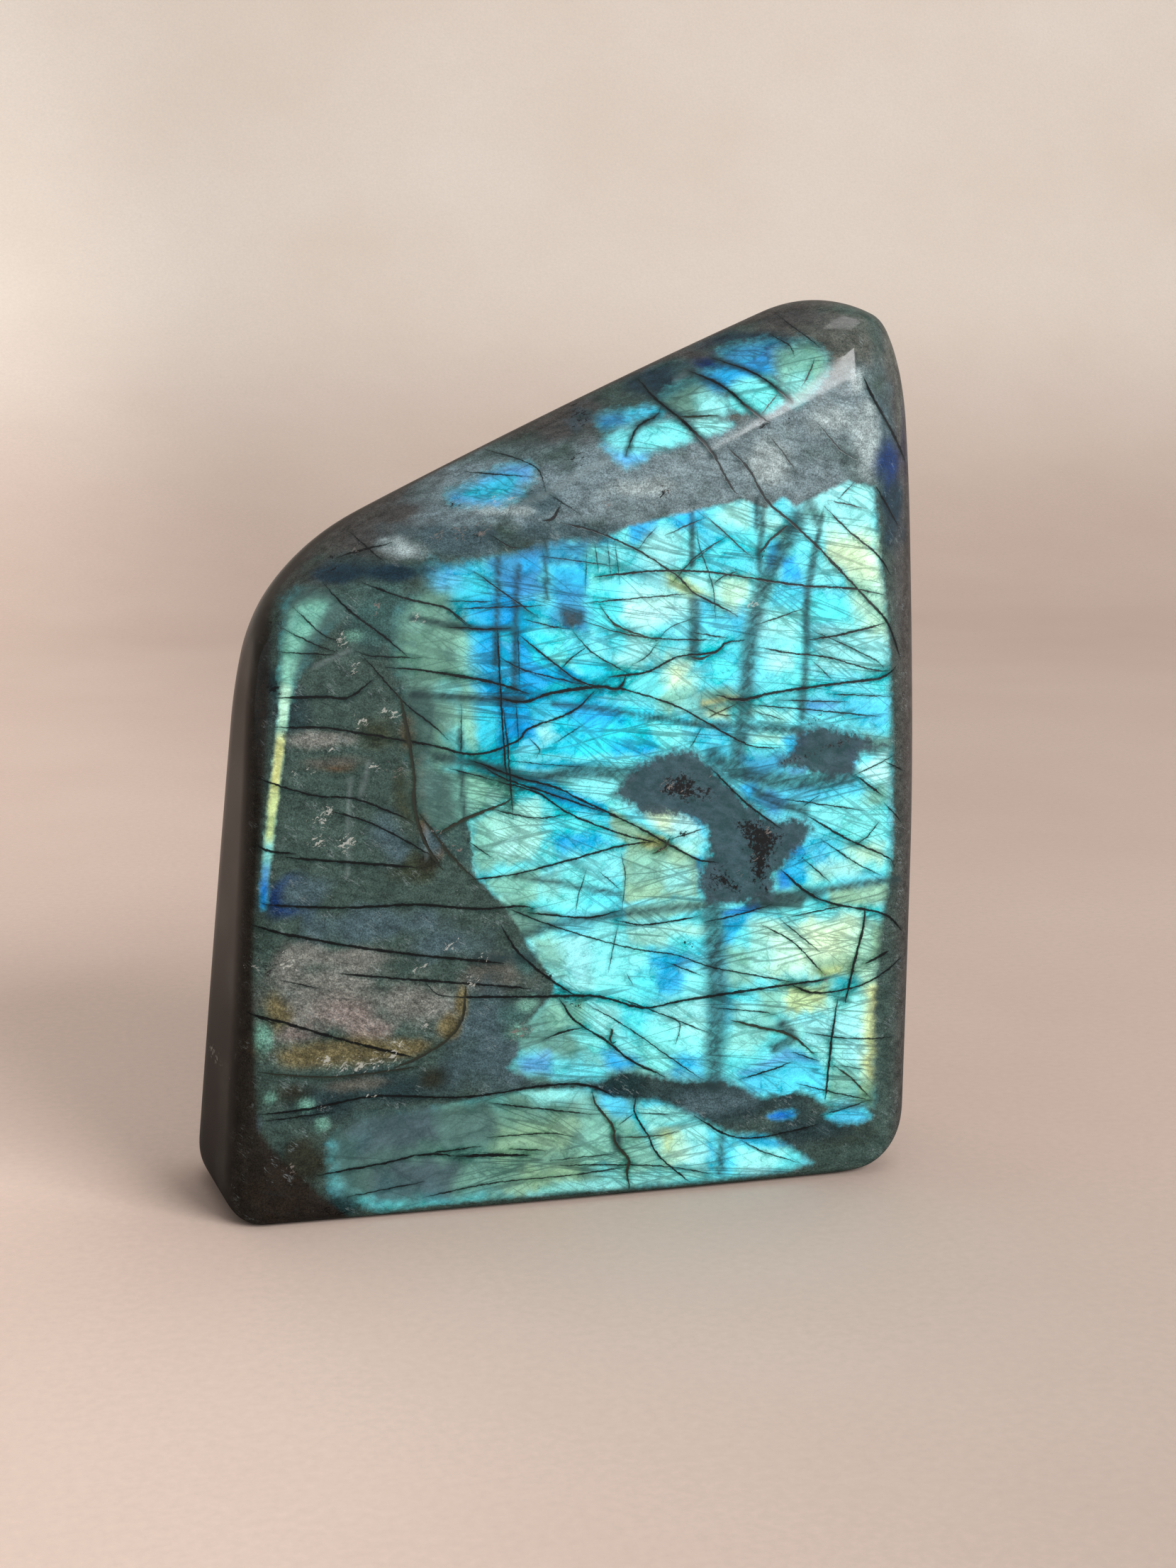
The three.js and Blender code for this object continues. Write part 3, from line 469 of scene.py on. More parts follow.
# Cracks: width in mm, then the line from left to right or from top to bottom
DARK_CRACKS = """
.3 -35.2,61.4 -30,61.4 -27.3,61.2 -24.5,63.1
.25 -35.5,58.1 -30,57.9 -24.5,56.8 -17.7,55.4 -13,54.2 -8,55.5 -6.6,56.9 -1.5,58.6 1.2,60.8
.15 -35,66.5 -32.3,66.3 -28.2,66
.15 -34.3,69 -30.2,67 -28.2,66.3
.15 -32.7,71.1 -30,68.4 -28.2,67.6
.2 -29.1,73.6 -26.8,70.9 -23.2,68.1 -20.3,65.5
.2 -25,73.8 -20,72 -15.9,70.9 -13,68.7
.15 -26.4,66.5 -24.5,65.8 -18.9,65.4
.2 -23,64.5 -17.7,63.8 -10.8,62.3 -7.9,61.3
.15 -25.7,66.1 -21.1,60.6 -17.7,57.7 -15.9,55.9
.15 -25.2,79 -24.1,77.8 -22.3,76
.25 -16,63.6 -10.8,62.4 -6.5,60.9
.35 -10.5,60.6 -7.1,60 -3.7,60.9 1.7,61.4 4.2,61.1 5.1,62.7
.25 2.9,62.5 7.6,62.9 11.3,64.5 16,64.9 17.1,65.9 19.6,66.2
.15 -7.1,69.5 -3.3,68.4 -1.5,68.2
.15 -1.2,67.9 1.3,65.2 5.4,62.8
.2 -7.6,67.7 -3.7,64.5 0,61.9 5.1,60.9 10.6,59 13.5,57.5 18.2,54.7 20.7,53.6 23.9,53.3
.15 -10.1,65.4 -6.9,63.6 0,61.7
.15 -16,71.1 -13.3,68.7
.2 -16,68.8 -11.5,68.4 -8.5,68.4
.15 -12.6,75 -9.9,73 -7.6,71.3 -5.1,69.5
.15 -16,71.7 -10.1,71.5
.15 -14.6,70.8 -4.2,70.9
.15 0,71 4.5,71.3 13.1,71.8
.2 -2.4,80.2 1.3,79.3 6.7,76.9 11.7,73.6 13.1,72 15.4,70.8 18.7,69
.15 10.8,73.1 13.8,76.1 17.8,78.4
.12 13.8,79.4 14.2,77 15.7,72.5 16,68.8
.12 6.7,77 8.1,78.6 9,79.5
.15 9.9,78.5 14.9,80.5
.25 1.5,74 9,74.5 15.3,74.2 20.7,73.3 27.1,72.3 33,71.8 37.3,70.9
.12 -4.9,76.5 0,75.8 4.5,75.1
.1 .6,76.8 .4,72
.1 1.6,77.9 2,74.5
.1 3.1,78.1 3.5,73.6
.1 4,77.9 4.5,73.1
.15 .7,66.2 -1.2,65 -2.8,63.4
.15 0,69 4.5,67.5 9,66.7 16,66.3
.15 13,67.3 17.5,66.5
.12 9,66.5 10.4,67.9 13.5,69
.12 9,66.3 7.6,64.7 5.8,63.8
.2 -10,68.4 -9.8,61.5 -9.4,53.1 -9.2,51
.15 -9.5,59.3 -9.1,55 -8.6,46.5
.12 -7.6,68.4 -7.6,62
.12 -8,60.2 -7.8,55.2
.12 -14.4,60 -14.5,53.8
.12 -6.7,56 -5.3,54.3 -5.8,53.4
.12 -9.2,53.3 -3.3,52.5 0,52.2
.12 14.2,56.3 12.6,53.6
.12 0,57.2 -3.7,55
.15 -8.7,88.1 -5.3,87 -3.8,85.9 -3.7,83.6
.15 -11.5,85.6 -4.6,85.2
.35 -4.4,80.5 -3.3,80.6 -2.4,82
.12 -3.3,83.4 0,81.1
.15 -10.5,79 -8.5,77.7 -6.9,77.4
.15 5.8,87.7 7.6,90.6 10.4,92.2 11,93.1
.3 9.9,96.1 10.8,93.8 13.3,90.9 16,87.7 18,84 18.9,83.1
.28 15.3,97.1 17.8,95.6 20.5,92.9 22.8,91.3
.2 18.2,98.6 21.6,97 24.6,94.6 25.7,93.6
.15 21.9,92.2 24.1,94.6
.15 25,101.5 26.6,100 26.6,98.8
.15 26.9,103.8 27.8,102.2 29.8,99.7
.15 28.9,98.6 28,96.8 26.9,95.2
.3 17.8,88.4 20.3,85.9 22.5,82.2 25.3,79.9 28.5,77 31.9,73.6 35,70.4 37.8,67.5 40,62.9
.15 22.8,89.7 24.4,87.9 26.2,85.4
.15 28.7,91.3 31.6,88.1 33.7,86.8
.4 34.8,96.5 36.4,93.8 40.3,89.3 42.5,86.1
.3 36.4,83.6 38.9,80.4 40.3,78.8
.15 31.2,82.2 33.5,84.3
.15 30,82.2 35,81.1
.2 29.6,81.5 32.8,78.4 36.2,75.8 38.7,72.9
.15 14.7,80.9 17.3,78.6 20.7,75.6
.12 13,75.2 16.4,77.7
.3 25,79.3 23,77.9 21.4,76.1
.15 15.7,72.7 17.1,73.7 18.9,74.2
.25 27.5,65.9 31.9,66.5 37.4,67.6
.3 16,59.9 18.9,59.2 23.2,59.9 30.3,60.6 36.6,61.1 39.1,62.2
.18 21.1,65.3 25,64.5 29.8,63.8 35.3,62.2 38,61.8
.15 28,67 32.5,65 36.2,63.1 37.3,62
.15 20,58.6 27.5,57.7 36.6,56.5
.12 20.3,57.9 24.8,56.5
.15 23.5,59 32.5,58.4
.15 29.8,59.5 38.2,58.8
.12 27.8,63.6 30.5,61.1
.15 21,67.9 27.1,69.7
.25 -13.5,53.6 -8.5,51.5 -3.7,50 0,48.1 5.6,45.2 9.5,42.9 13.5,40.6 16,40.1
.2 -11.9,52.7 -9.2,51.1 -4.6,49.4 2.2,46.8
.2 -10.5,51 -5.8,49.5 -1.9,46.8 3.8,44.3 9,42.7
.15 -16,52.7 -10.3,51
.15 9.9,43.1 14.7,44.3
.22 -14,39.7 -8.7,40.1 -1.9,41.4 4,42.7 8.1,43
.15 -9.9,36.3 -3.7,33.6 4.9,30.6 10.8,29.3 15.3,27.5 22.1,25.8 25.7,24.9
.25 -10.3,34.3 -8.3,30.9 -4.6,27.5 -1.2,25.1
.28 -37.5,38.1 -28.2,37.3 -20,37.2 -13,36.3 -8,36.3 -6.5,36
.2 -7.1,35.5 0,34.5 4,35.1
.2 3.3,34 6.7,33.2 11.3,33.5 14,33.9
.2 14.4,33 18.7,33.7 22.8,34.6
.12 3.8,33.6 3.1,30.6 2.5,27.7
.12 4.2,42 4.7,39 4.2,35
.12 0,40.2 -1.1,36.8 -1.3,35
.12 1.3,40 4.2,37.5
.15 -11.5,47.9 -5.8,46.5 -1.9,46.8
.15 -14,44.3 -11,42
.22 15.3,51.3 19.8,46.8 24.1,43.6
.22 27.1,45.2 32.3,42 37.5,39.5 38.7,38.1
.15 24.4,47.2 33,45.6 34.8,45.3
.15 28.9,42.2 33.5,39 36.9,37.2
.28 23.9,38.8 27.1,35.9 30.3,34.3 37.1,32.5 40,30
.15 26.6,40 30.3,36.8
.15 24.8,32.9 32.5,34
.18 21.4,32.3 25.3,30 28,27.2 29.5,25.6
.15 23.7,32.9 28.9,28.4
.35 34.6,33.4 34.5,31.3 33,25.5 32.2,22
.25 33.5,49.5 36.9,47
.15 33,49.5 38.7,51.8
.15 37.1,51.1 40.3,49.5
.15 26.6,46.1 28.9,47.5
.15 37.1,46.1 39.8,43.4
.15 36.6,44 34.8,42 33.5,41.3
.2 -38,52.5 -31.4,50.3 -26.8,49.7 -20.5,47
.18 -30,48.6 -25,46.8 -19.5,43.6 -17.7,42.2
.25 -38.2,45 -36.8,44.2 -33.6,43.8
.3 -34.8,43.4 -27.7,42.5 -20,41.5
.3 -38.6,35.6 -32.7,34 -27.7,32.8 -20,31.3 -10,29.7
.15 -35.7,29.3 -31.4,28.1
.25 -29.1,29.7 -20.9,28.5 -13,27.4 -6.9,26.5
.15 -19.3,28.2 -18,26.6 -16,26.1
.3 -16,26.1 -6.9,25.5 1,25 6.7,23.2 11.3,23.7 18.9,24.3 29.8,25
.3 -39.5,25.5 -35.9,24.5 -29.1,22 -20.9,19.3
.15 -39.5,25.5 -36.4,24.3
.25 -38.6,13.8 -32.7,14.1 -25.5,15 -15,14.1 -5,14.7 0,14.3 3.3,12.6
.15 -38.2,13 -30,13.5
.22 -32.3,6.1 -24.5,6.9 -20,7.6 -15.5,7
.35 -16,7 -11.5,6.8 -7.3,6.4
.18 -20,7.6 -13,8
.15 -29.1,3.2 -19.8,4.3
.15 -20,2.4 -11.5,3.4 -2.4,3.5 4.5,3.9
.25 -3.5,25.1 -1.5,22.2 2,19.7 5.4,16.8 9.4,14.6
.2 -.5,21.4 -3.3,21 -5.5,20.2
.22 5.8,12.7 5.6,10.5 7.2,7.7 8.5,5 12.6,1.1
.12 5.6,10.5 3.5,9.1
.12 5.6,10.5 10.8,9.8
.15 -12.4,9 -5.1,8.9 -1.5,8.1
.15 -9.9,7.4 -5.1,6.8
.12 -5.1,5.5 3.8,5.7
.15 -3.7,4.8 2.2,4.4 9.5,3.5 15.4,2
.15 -12.1,13.2 -7.8,12.3 .8,10.7
.15 3.5,24.7 8.1,22.7 14.9,19.5
.15 0,24.1 4.9,20.9 9.5,17.3 14,13.9
.12 10.1,22 11.3,20.9 10.6,18.2
.15 9.5,28.6 14.2,26.5
.12 4.7,27.6 5.5,26
.25 25,24.8 28.5,23.4 34.4,24 39.8,26.6
.4 34.8,26.6 37.8,27.8
.15 15.7,22.5 21.6,21.6 23.5,21
.3 31.2,22.3 30.5,17.7 29.7,10
.15 27.1,18.6 33,17.4 38.7,17
.2 18.7,13.5 22.5,14.3 25.3,15.1
.15 25.3,16.4 28.9,14.9
.12 31,14.3 35.5,13.2
.15 25.7,12.5 31.2,10.7 35.7,9.4
.15 35.7,9.5 28.9,8
.2 13,9.5 17.5,6.6 22.1,6.1 28.9,7
.15 18.7,6.1 21.6,4.3 26.6,2.3
.2 -27.3,76.2 -24.5,77.1 -20.9,78
"""
BROWN_CRACKS = """
.35 -21.4,61.3 -20.7,57.5 -20,52 -20,48.4 -18.9,44.3 -17,41.1
.35 -17.7,45.1 -14.3,46.8 -9.9,48.3 -8.7,49
.25 -19.5,47.7 -16.1,42.9 -13.2,39.7
.2 2,70.9 4,68.4 8.8,66.5
.2 12.2,91.9 17,92.1
.3 .4,13.6 .8,12 2.9,9.1 3.2,7 4.9,4.8 4.6,3.4 5,1.1
.15 3.3,7.7 7.6,7.4 11.3,7.7
.3 17.5,20.9 22.1,19.5 25.3,18.4 28.2,15.9
.2 30.7,14.3 33,12.5 35.5,9.8
.25 2.6,21.1 3,20.7 2.6,19.8 2.9,19.1
.25 12.8,64.4 14.2,64.2 15.4,64.6
.3 -14.5,27.5 -15,23.6 -16.8,21.1 -20.5,19.1 -23.2,18.2
.2 -38.6,18.7 -30.9,17.7 -25,17.8 -20,18.2
.15 14.5,58.6 16.4,57.6 18.4,57.4
.15 14.8,57.2 16.6,58 18.6,58.8
.25 8,41.6 9.4,42.2 10.2,43.4
"""
# Pale lines: width in mm, then the line. The first lies along the crease between the front and the top front
# bevel and is a painted highlight; the others are pale lines in the stone.
PALE_LINES_AND_CREASE_HIGHLIGHT = """
.5 -6,82.5 -3.3,83.6 0,85.4 4.5,87.5
.15 -25.2,53.8 -26.1,50.2
.12 -27.4,52 -27.8,41
.12 -18.6,51 -18.7,42.6
.15 13.6,96 15.4,97.2
.15 -31,64.8 -27,66.5
"""

# Every crack's distance is kept at the surface's points, in as many layers as keep close cracks apart
CRACK_REACH = 0.85
CRACK_CLEARANCE = 1.7
CRACK_STEP = 0.6
CRACK_TAPER = 2.5
END_WIDTH = 0.35
END_FADE = 0.35
SHADE_REACH = 0.9
WIDEST_CRACK = 0.35
NO_CRACK = -1.0
FAR_OUTSIDE = -6.0
CELL_COVER = 0.9
SIDE_COVER = 0.92
# How far a surface turns to the front or the back while the drawing comes in, 1 being square on
FRONT_FACING = (0.08, 0.32)
BACK_FACING = (0.2, 0.5)
BACK_COLOURING = (0.1, 0.85)
# Millimetres of depth that stand for the full turn from shown to hidden
TURNING_DEPTH = 4.0
# Where a crack that runs through the stone comes out behind, in mm from its place in front
CRACK_DRIFT = (6.0, -7.0)
# Where the right edge comes in, in mm from the middle, and the dark left side, in mm past its line
RIM_EDGE = (37, 41)
SIDE_EDGE = (-0.3, 0.6)
# Where the fine lines end on the front, and where a share of them is lost, in mm from the middle
LINES_END_RIGHT = (38, 42)
LINES_END_LEFT = (37.5, 40)
FEWER_LINES_LEFT = (11, 18)
LINES_LOST = 0.4
# How dark the fine lines are away from the front
REST_LINES = 1.3


def points_of(text):
    """The groups of numbers in a text, such as a line's x,z pairs in millimetres."""
    return np.array([[float(number) for number in pair.split(",")] for pair in text.split()])


def rows_of(text):
    """Each row's first word and the rest of the row."""
    for row in text.strip().splitlines():
        yield row.split(" ", 1)


def lines_of(text):
    """Each row's leading number and the points of its line."""
    for width, line in rows_of(text):
        yield float(width), points_of(line)


def outlines_of(text):
    """Each row's colour, the softness of its edge and its outline."""
    for name, rest in rows_of(text):
        soft, outline = rest.split(" ", 1)
        yield name, float(soft), points_of(outline)


def smoothstep(value, low, high):
    share = np.clip((value - low) / (high - low), 0, 1)
    return share * share * (3 - 2 * share)


def cloud(points, grain, seed):
    """A smooth random field from 0 to 1 over points in millimetres, with lumps about grain apart."""
    cells = 32
    lattice = np.random.default_rng(seed).random((cells, cells, cells))
    place = points / grain + 7.3
    corner = np.floor(place).astype(int)
    share = place - corner
    share = share * share * (3 - 2 * share)
    total = np.zeros(len(points))
    for offset in np.ndindex(2, 2, 2):
        weight = np.ones(len(points))
        for axis in range(3):
            weight *= share[:, axis] if offset[axis] else 1 - share[:, axis]
        x, y, z = ((corner + offset) % cells).T
        total += weight * lattice[x, y, z]
    return total


def albedo(name):
    """The surface colour that looks like a named colour once the light and the polish are on it."""
    seen = np.array(COLOURS[name]) / 255
    linear = np.where(seen <= 0.04045, seen / 12.92, ((seen + 0.055) / 1.055) ** 2.4)
    return np.clip((linear - POLISH_HAZE) / LIGHT_LEVEL, *ALBEDO_RANGE)


# The form of the stone


def face_normal(turn, lift):
    turn, lift = math.radians(turn), math.radians(lift)
    return np.array([math.sin(turn) * math.cos(lift), -math.cos(turn) * math.cos(lift), math.sin(lift)])


def height_over_stone(points):
    """How far points, given from the heart, stand out of the stone: negative inside."""
    height = None
    for _, turn, lift, reach, soft, bulge in FACES:
        along = points @ face_normal(turn, lift)
        over = along - reach
        if bulge:
            over += ((points * points).sum(-1) - along * along) / (2 * bulge)
        if height is None:
            height = over
            continue
        overlap = np.maximum(soft - np.abs(height - over), 0)
        height = np.maximum(height, over) + overlap * overlap / (4 * soft)
    return height


def surface_points(directions):
    """Where rays from the heart leave the stone."""
    inside = np.zeros(directions.shape[:-1])
    outside = np.full(directions.shape[:-1], FARTHEST_REACH)
    for _ in range(BISECTIONS):
        middle = (inside + outside) / 2
        within = height_over_stone(directions * middle[..., None]) < 0
        inside = np.where(within, middle, inside)
        outside = np.where(within, outside, middle)
    return directions * ((inside + outside) / 2)[..., None]


def rim_directions(angles):
    return np.stack([-np.cos(angles), np.zeros_like(angles), np.sin(angles)], -1)


def travelled(line, weights=1.0):
    """The way along a line of points, longer where it bends and where its steps weigh more."""
    steps = np.diff(line, axis=0)
    lengths = np.linalg.norm(steps, axis=1)
    ways = steps / lengths[:, None]
    bends = np.arccos(np.clip((ways[1:] * ways[:-1]).sum(1), -1, 1))
    bends = np.append(bends, bends[-1])
    return np.concatenate([[0], np.cumsum(lengths * weights + BEND_WEIGHT * bends)])


def sector_angles():
    """Angles round the outline, spaced along it."""
    angles = np.linspace(0, 2 * np.pi, FINE_STEPS * 4 + 1)
    way = travelled(surface_points(rim_directions(angles)))
    return np.interp(np.linspace(0, way[-1], SECTORS + 1)[:-1], way, angles)


def stone_grid(angles):
    """The surface as sectors by rings of points, each sector from the back to the front."""
    swings = np.linspace(0, np.pi, FINE_STEPS + 1)
    grid = np.empty((SECTORS, RINGS + 1, 3))
    for sector, angle in enumerate(angles):
        sideways = rim_directions(np.array(angle))
        fine = surface_points(np.cos(swings)[:, None] * [0, 1, 0] + np.sin(swings)[:, None] * sideways)
        steps = np.diff(fine, axis=0)
        outwards = steps @ sideways / np.linalg.norm(steps, axis=1)
        weights = np.interp(
            outwards, [-0.9, -0.3, 0.3, 0.9],
            [RING_WEIGHTS["front"], RING_WEIGHTS["side"], RING_WEIGHTS["side"], RING_WEIGHTS["back"]],
        )
        way = travelled(fine, weights)
        picks = np.linspace(0, way[-1], RINGS + 1)
        grid[sector] = np.stack([np.interp(picks, way, fine[:, axis]) for axis in range(3)], 1)
    grid[:, 0] = grid[:, 0].mean(0)
    grid[:, -1] = grid[:, -1].mean(0)
    grid[..., 2] += HEART_HEIGHT
    grid[..., 2] = np.maximum(grid[..., 2], 0)
    return grid


def stone_faces():
    """Triangles round the two ends of the grid and quads between them, as rows of point numbers."""
    sector = np.arange(SECTORS)
    after = (sector + 1) % SECTORS
    first = 1 + sector * (RINGS - 1)
    second = 1 + after * (RINGS - 1)
    front_point = 1 + SECTORS * (RINGS - 1)
    triangles = [(0, int(a), int(b)) for a, b in zip(first, second)]
    quads = []
    for ring in range(RINGS - 2):
        quads += list(zip((first + ring).tolist(), (first + ring + 1).tolist(),
                          (second + ring + 1).tolist(), (second + ring).tolist()))
    last = RINGS - 2
    ends = [(int(a), front_point, int(b)) for a, b in zip(first + last, second + last)]
    return triangles + quads + ends


def spread_map(grid, angles):
    """Map places on the front's island and on the other one, unrolled outwards from each middle."""
    steps = np.linalg.norm(np.diff(grid, axis=1), axis=2)
    from_back = np.concatenate([np.zeros((SECTORS, 1)), np.cumsum(steps, 1)], 1)
    from_front = from_back[:, -1:] - from_back
    ways = np.stack([-np.cos(angles), np.sin(angles)], 1)[:, None]
    front = np.array(MAP_MIDDLE_FRONT) + ways * from_front[..., None] * MAP_SCALE_FRONT
    rest = np.array(MAP_MIDDLE_REST) + ways * from_back[..., None] * MAP_SCALE_REST * [-1, 1]
    return front, rest


def flatten(grid):
    """The grid's points as one list: the back's middle, sector by sector, the front's middle."""
    inner = grid[:, 1:-1].reshape(-1, grid.shape[-1])
    return np.concatenate([grid[:1, 0], inner, grid[:1, -1]])


def read_numbers(items, name, kind):
    """One number of every item of a mesh, as an array."""
    values = np.empty(len(items), kind)
    items.foreach_get(name, values)
    return values


def lay_map(mesh, grid, angles):
    """Gives every corner its map place: a face is on the front's island if all of it is past the seam."""
    front_map, rest_map = (flatten(part) for part in spread_map(grid, angles))
    rings = flatten(np.broadcast_to(np.arange(RINGS + 1.0)[None, :, None], grid.shape[:2] + (1,)))[:, 0]
    corners = read_numbers(mesh.loops, "vertex_index", np.int32)
    starts = read_numbers(mesh.polygons, "loop_start", np.int32)
    in_front = np.minimum.reduceat(rings[corners], starts) >= SEAM_RING
    sizes = np.diff(np.append(starts, len(corners)))
    places = np.where(np.repeat(in_front, sizes)[:, None], front_map[corners], rest_map[corners])
    mesh.uv_layers.new(name="OFBake").data.foreach_set("uv", places.astype(np.float32).ravel())


def build_stone():
    angles = sector_angles()
    grid = stone_grid(angles)
    points = flatten(grid)
    mesh = bpy.data.meshes.new("polished_stone")
    mesh.from_pydata((points * MM).tolist(), [], stone_faces())
    mesh.validate()
    mesh.polygons.foreach_set("use_smooth", np.ones(len(mesh.polygons), bool))
    lay_map(mesh, grid, angles)
    stone = bpy.data.objects.new("polished_stone", mesh)
    bpy.context.scene.collection.objects.link(stone)
    return stone, points


def point_normals(mesh):
    normals = np.empty(len(mesh.vertices) * 3, np.float32)
    mesh.vertex_normals.foreach_get("vector", normals)
    return normals.reshape(-1, 3)


# Measuring on the stone


def depth_in_outline(places, outline):
    """How deep places lie inside an outline, in millimetres: negative outside."""
    nearest = np.full(len(places), np.inf)
    inside = np.zeros(len(places), bool)
    for start, end in zip(outline, np.roll(outline, -1, 0)):
        way = end - start
        share = np.clip((places - start) @ way / (way @ way), 0, 1)
        nearest = np.minimum(nearest, np.linalg.norm(places - start - share[:, None] * way, axis=1))
        if start[1] != end[1]:
            spans = (start[1] > places[:, 1]) != (end[1] > places[:, 1])
            crossing = start[0] + (places[:, 1] - start[1]) * way[0] / way[1]
            inside ^= spans & (places[:, 0] < crossing)
    return np.where(inside, nearest, -nearest)


def deepest(places, outlines):
    return np.max([depth_in_outline(places, points_of(outline)) for outline in outlines], 0)


def depth_in_spots(places, spots):
    """How deep places lie inside the nearest of some round spots."""
    depth = np.full(len(places), FAR_OUTSIDE)
    for x, z, radius in points_of(spots):
        depth = np.maximum(depth, radius - np.hypot(places[:, 0] - x, places[:, 1] - z))
    return depth


def curved(line):
    """A smooth line through the given points, in short steps."""
    if len(line) < 3:
        return line
    padded = np.concatenate([[2 * line[0] - line[1]], line, [2 * line[-1] - line[-2]]])
    made = []
    for before, start, end, after in zip(padded, padded[1:], padded[2:], padded[3:]):
        count = max(int(np.linalg.norm(end - start) / CRACK_STEP), 1)
        for share in np.arange(count) / count:
            bend = 2 * before - 5 * start + 4 * end - after
            twist = 3 * start - before - 3 * end + after
            made.append(0.5 * (2 * start + (end - before) * share + bend * share**2 + twist * share**3))
    return np.array(made + [line[-1]])


def from_line(places, line):
    """How far places lie from a line, the same with a sign for the side, how far along it they lie,
    how far past an end, and the line's length."""
    best = np.full(len(places), np.inf)
    signed = np.zeros(len(places))
    along = np.zeros(len(places))
    past = np.zeros(len(places))
    total = 0.0
    last = len(line) - 2
    for index, (start, end) in enumerate(zip(line, line[1:])):
        way = end - start
        length = np.linalg.norm(way)
        way = way / length
        reach = (places - start) @ way
        held = np.clip(reach, 0, length)
        across = (places[:, 1] - start[1]) * way[0] - (places[:, 0] - start[0]) * way[1]
        apart = np.hypot(across, reach - held)
        nearer = apart < best
        beyond = np.zeros(len(places))
        if index == 0:
            beyond = np.maximum(beyond, -reach)
        if index == last:
            beyond = np.maximum(beyond, reach - length)
        side = np.where(beyond > 0, across, np.copysign(apart, across))
        best = np.where(nearer, apart, best)
        signed = np.where(nearer, side, signed)
        along = np.where(nearer, total + held, along)
        past = np.where(nearer, beyond, past)
        total += length
    return best, signed, along, past, total


def near_line(places, line, reach):
    low, high = line.min(0) - reach, line.max(0) + reach
    return np.flatnonzero(((places >= low) & (places <= high)).all(1))


# Drawing on the stone


def crack_shade(places):
    """How deep the flash lies in shade: more beside wide cracks and where many run together."""
    shade = np.zeros(len(places))
    for width, line in [*lines_of(DARK_CRACKS), *lines_of(BROWN_CRACKS)]:
        near = near_line(places, line, 4 * SHADE_REACH)
        best = from_line(places[near], curved(line))[0]
        shade[near] += width / WIDEST_CRACK * np.exp(-best / SHADE_REACH)
    return shade


def empty_layer(count):
    return np.tile([CRACK_CLEARANCE, NO_CRACK, 0.0], (count, 1))


def crack_layers(places, fading):
    """Layers of crack distance, half width and brownness, where close cracks are in different layers."""
    layers = []
    drawn = [(width, line, 0.0) for width, line in lines_of(DARK_CRACKS)]
    drawn += [(width, line, 1.0) for width, line in lines_of(BROWN_CRACKS)]
    drawn.sort(key=lambda crack: -len(crack[1]))
    for width, line, brown in drawn:
        line = curved(line)
        near = near_line(places, line, CRACK_CLEARANCE)
        best, signed, along, past, total = from_line(places[near], line)
        ends = np.minimum(along, total - along)
        taper = min(CRACK_TAPER, total / 3)
        half = width / 2 * (END_WIDTH + (1 - END_WIDTH) * smoothstep(ends, 0, taper)) - END_FADE * past
        half -= fading[near] * width
        kept = best < CRACK_REACH
        cleared = near[best < CRACK_CLEARANCE]
        for layer in layers:
            if not layer["taken"][near[kept]].any():
                break
        else:
            layer = {"values": empty_layer(len(places)), "taken": np.zeros(len(places), bool)}
            layers.append(layer)
        layer["taken"][cleared] = True
        layer["values"][near[kept]] = np.stack([signed, half, np.full(len(near), brown)], 1)[kept]
        wide = near[(best >= CRACK_REACH) & (best < CRACK_CLEARANCE)]
        layer["values"][wide, 2] = brown
    return [layer["values"] for layer in layers]


def paint_spots(places, wander, colour, spots):
    """Lays soft spots of colour over one another."""
    for name, row in rows_of(spots):
        paint = albedo(name)
        for x, z, wide, high in points_of(row):
            apart = np.hypot((places[:, 0] - x) / wide, (places[:, 1] - z) / high) + wander
            cover = 1 - smoothstep(apart, 0.4, 1.4)
            colour += (paint - colour) * cover[:, None]
    return colour


def paint_cells(places, stray, colour):
    """Lays the stretches of one colour over the rest; the softer an edge, the more it strays."""
    for name, soft, outline in outlines_of(FLASH_CELLS):
        near = near_line(places, outline, 2 * soft + 1)
        depth = depth_in_outline(places[near] + stray[near] * soft, outline)
        colour[near] += (albedo(name) - colour[near]) * (smoothstep(depth, -soft, soft) * CELL_COVER)[:, None]
    return colour


def main_softness(places):
    """How soft the main flash's edge is: crisp at the right, and soft at the upper left and lower down."""
    right, up = places.T
    softness = np.interp(right, [34, 37], [0.35, 0.9])
    softness += 1.9 * smoothstep(-right, 15, 18) * smoothstep(up, 45, 50)
    softness += 0.4 * smoothstep(-up, -20, -16)
    softness += 0.5 * smoothstep(up, 74, 76) * smoothstep(-right, -6, 0)
    return softness


def flash_edge(places, colour):
    """Depth in the flashing outlines and the softness of the nearest edge; paints the small ones."""
    lower_softness = np.interp(places[:, 0], [-28, -18, 2, 8], [1.2, 0.4, 0.4, 0.8])
    shapes = [
        (depth_in_outline(places, points_of(MAIN_FLASH)), main_softness(places)),
        (depth_in_outline(places, points_of(LOWER_FLASH)), lower_softness),
    ]
    for name, soft, outline in outlines_of(FLASH_SHAPES):
        depth = depth_in_outline(places, outline)
        colour += (albedo(name) - colour) * smoothstep(depth, -soft - 0.4, 0.3)[:, None]
        shapes.append((depth + 0.35 * (soft - 0.3), np.full(len(places), soft)))
    depths = np.array([depth for depth, _ in shapes])
    softs = np.array([soft for _, soft in shapes])
    winner = (depths / softs).argmax(0)
    every = np.arange(len(places))
    return np.maximum(depths[winner, every], FAR_OUTSIDE), softs[winner, every]


def soft_bands(places):
    """How strongly the dark bands under the polish show."""
    shown = np.zeros(len(places))
    for width, line in lines_of(SOFT_BANDS):
        line = curved(line)
        near = near_line(places, line, width + 1)
        best, _, _, past, _ = from_line(places[near], line)
        band = 1 - smoothstep(best + 0.3 * past, 0.15 * width, 0.75 * width + 0.15)
        shown[near] = np.maximum(shown[near], band)
    return shown
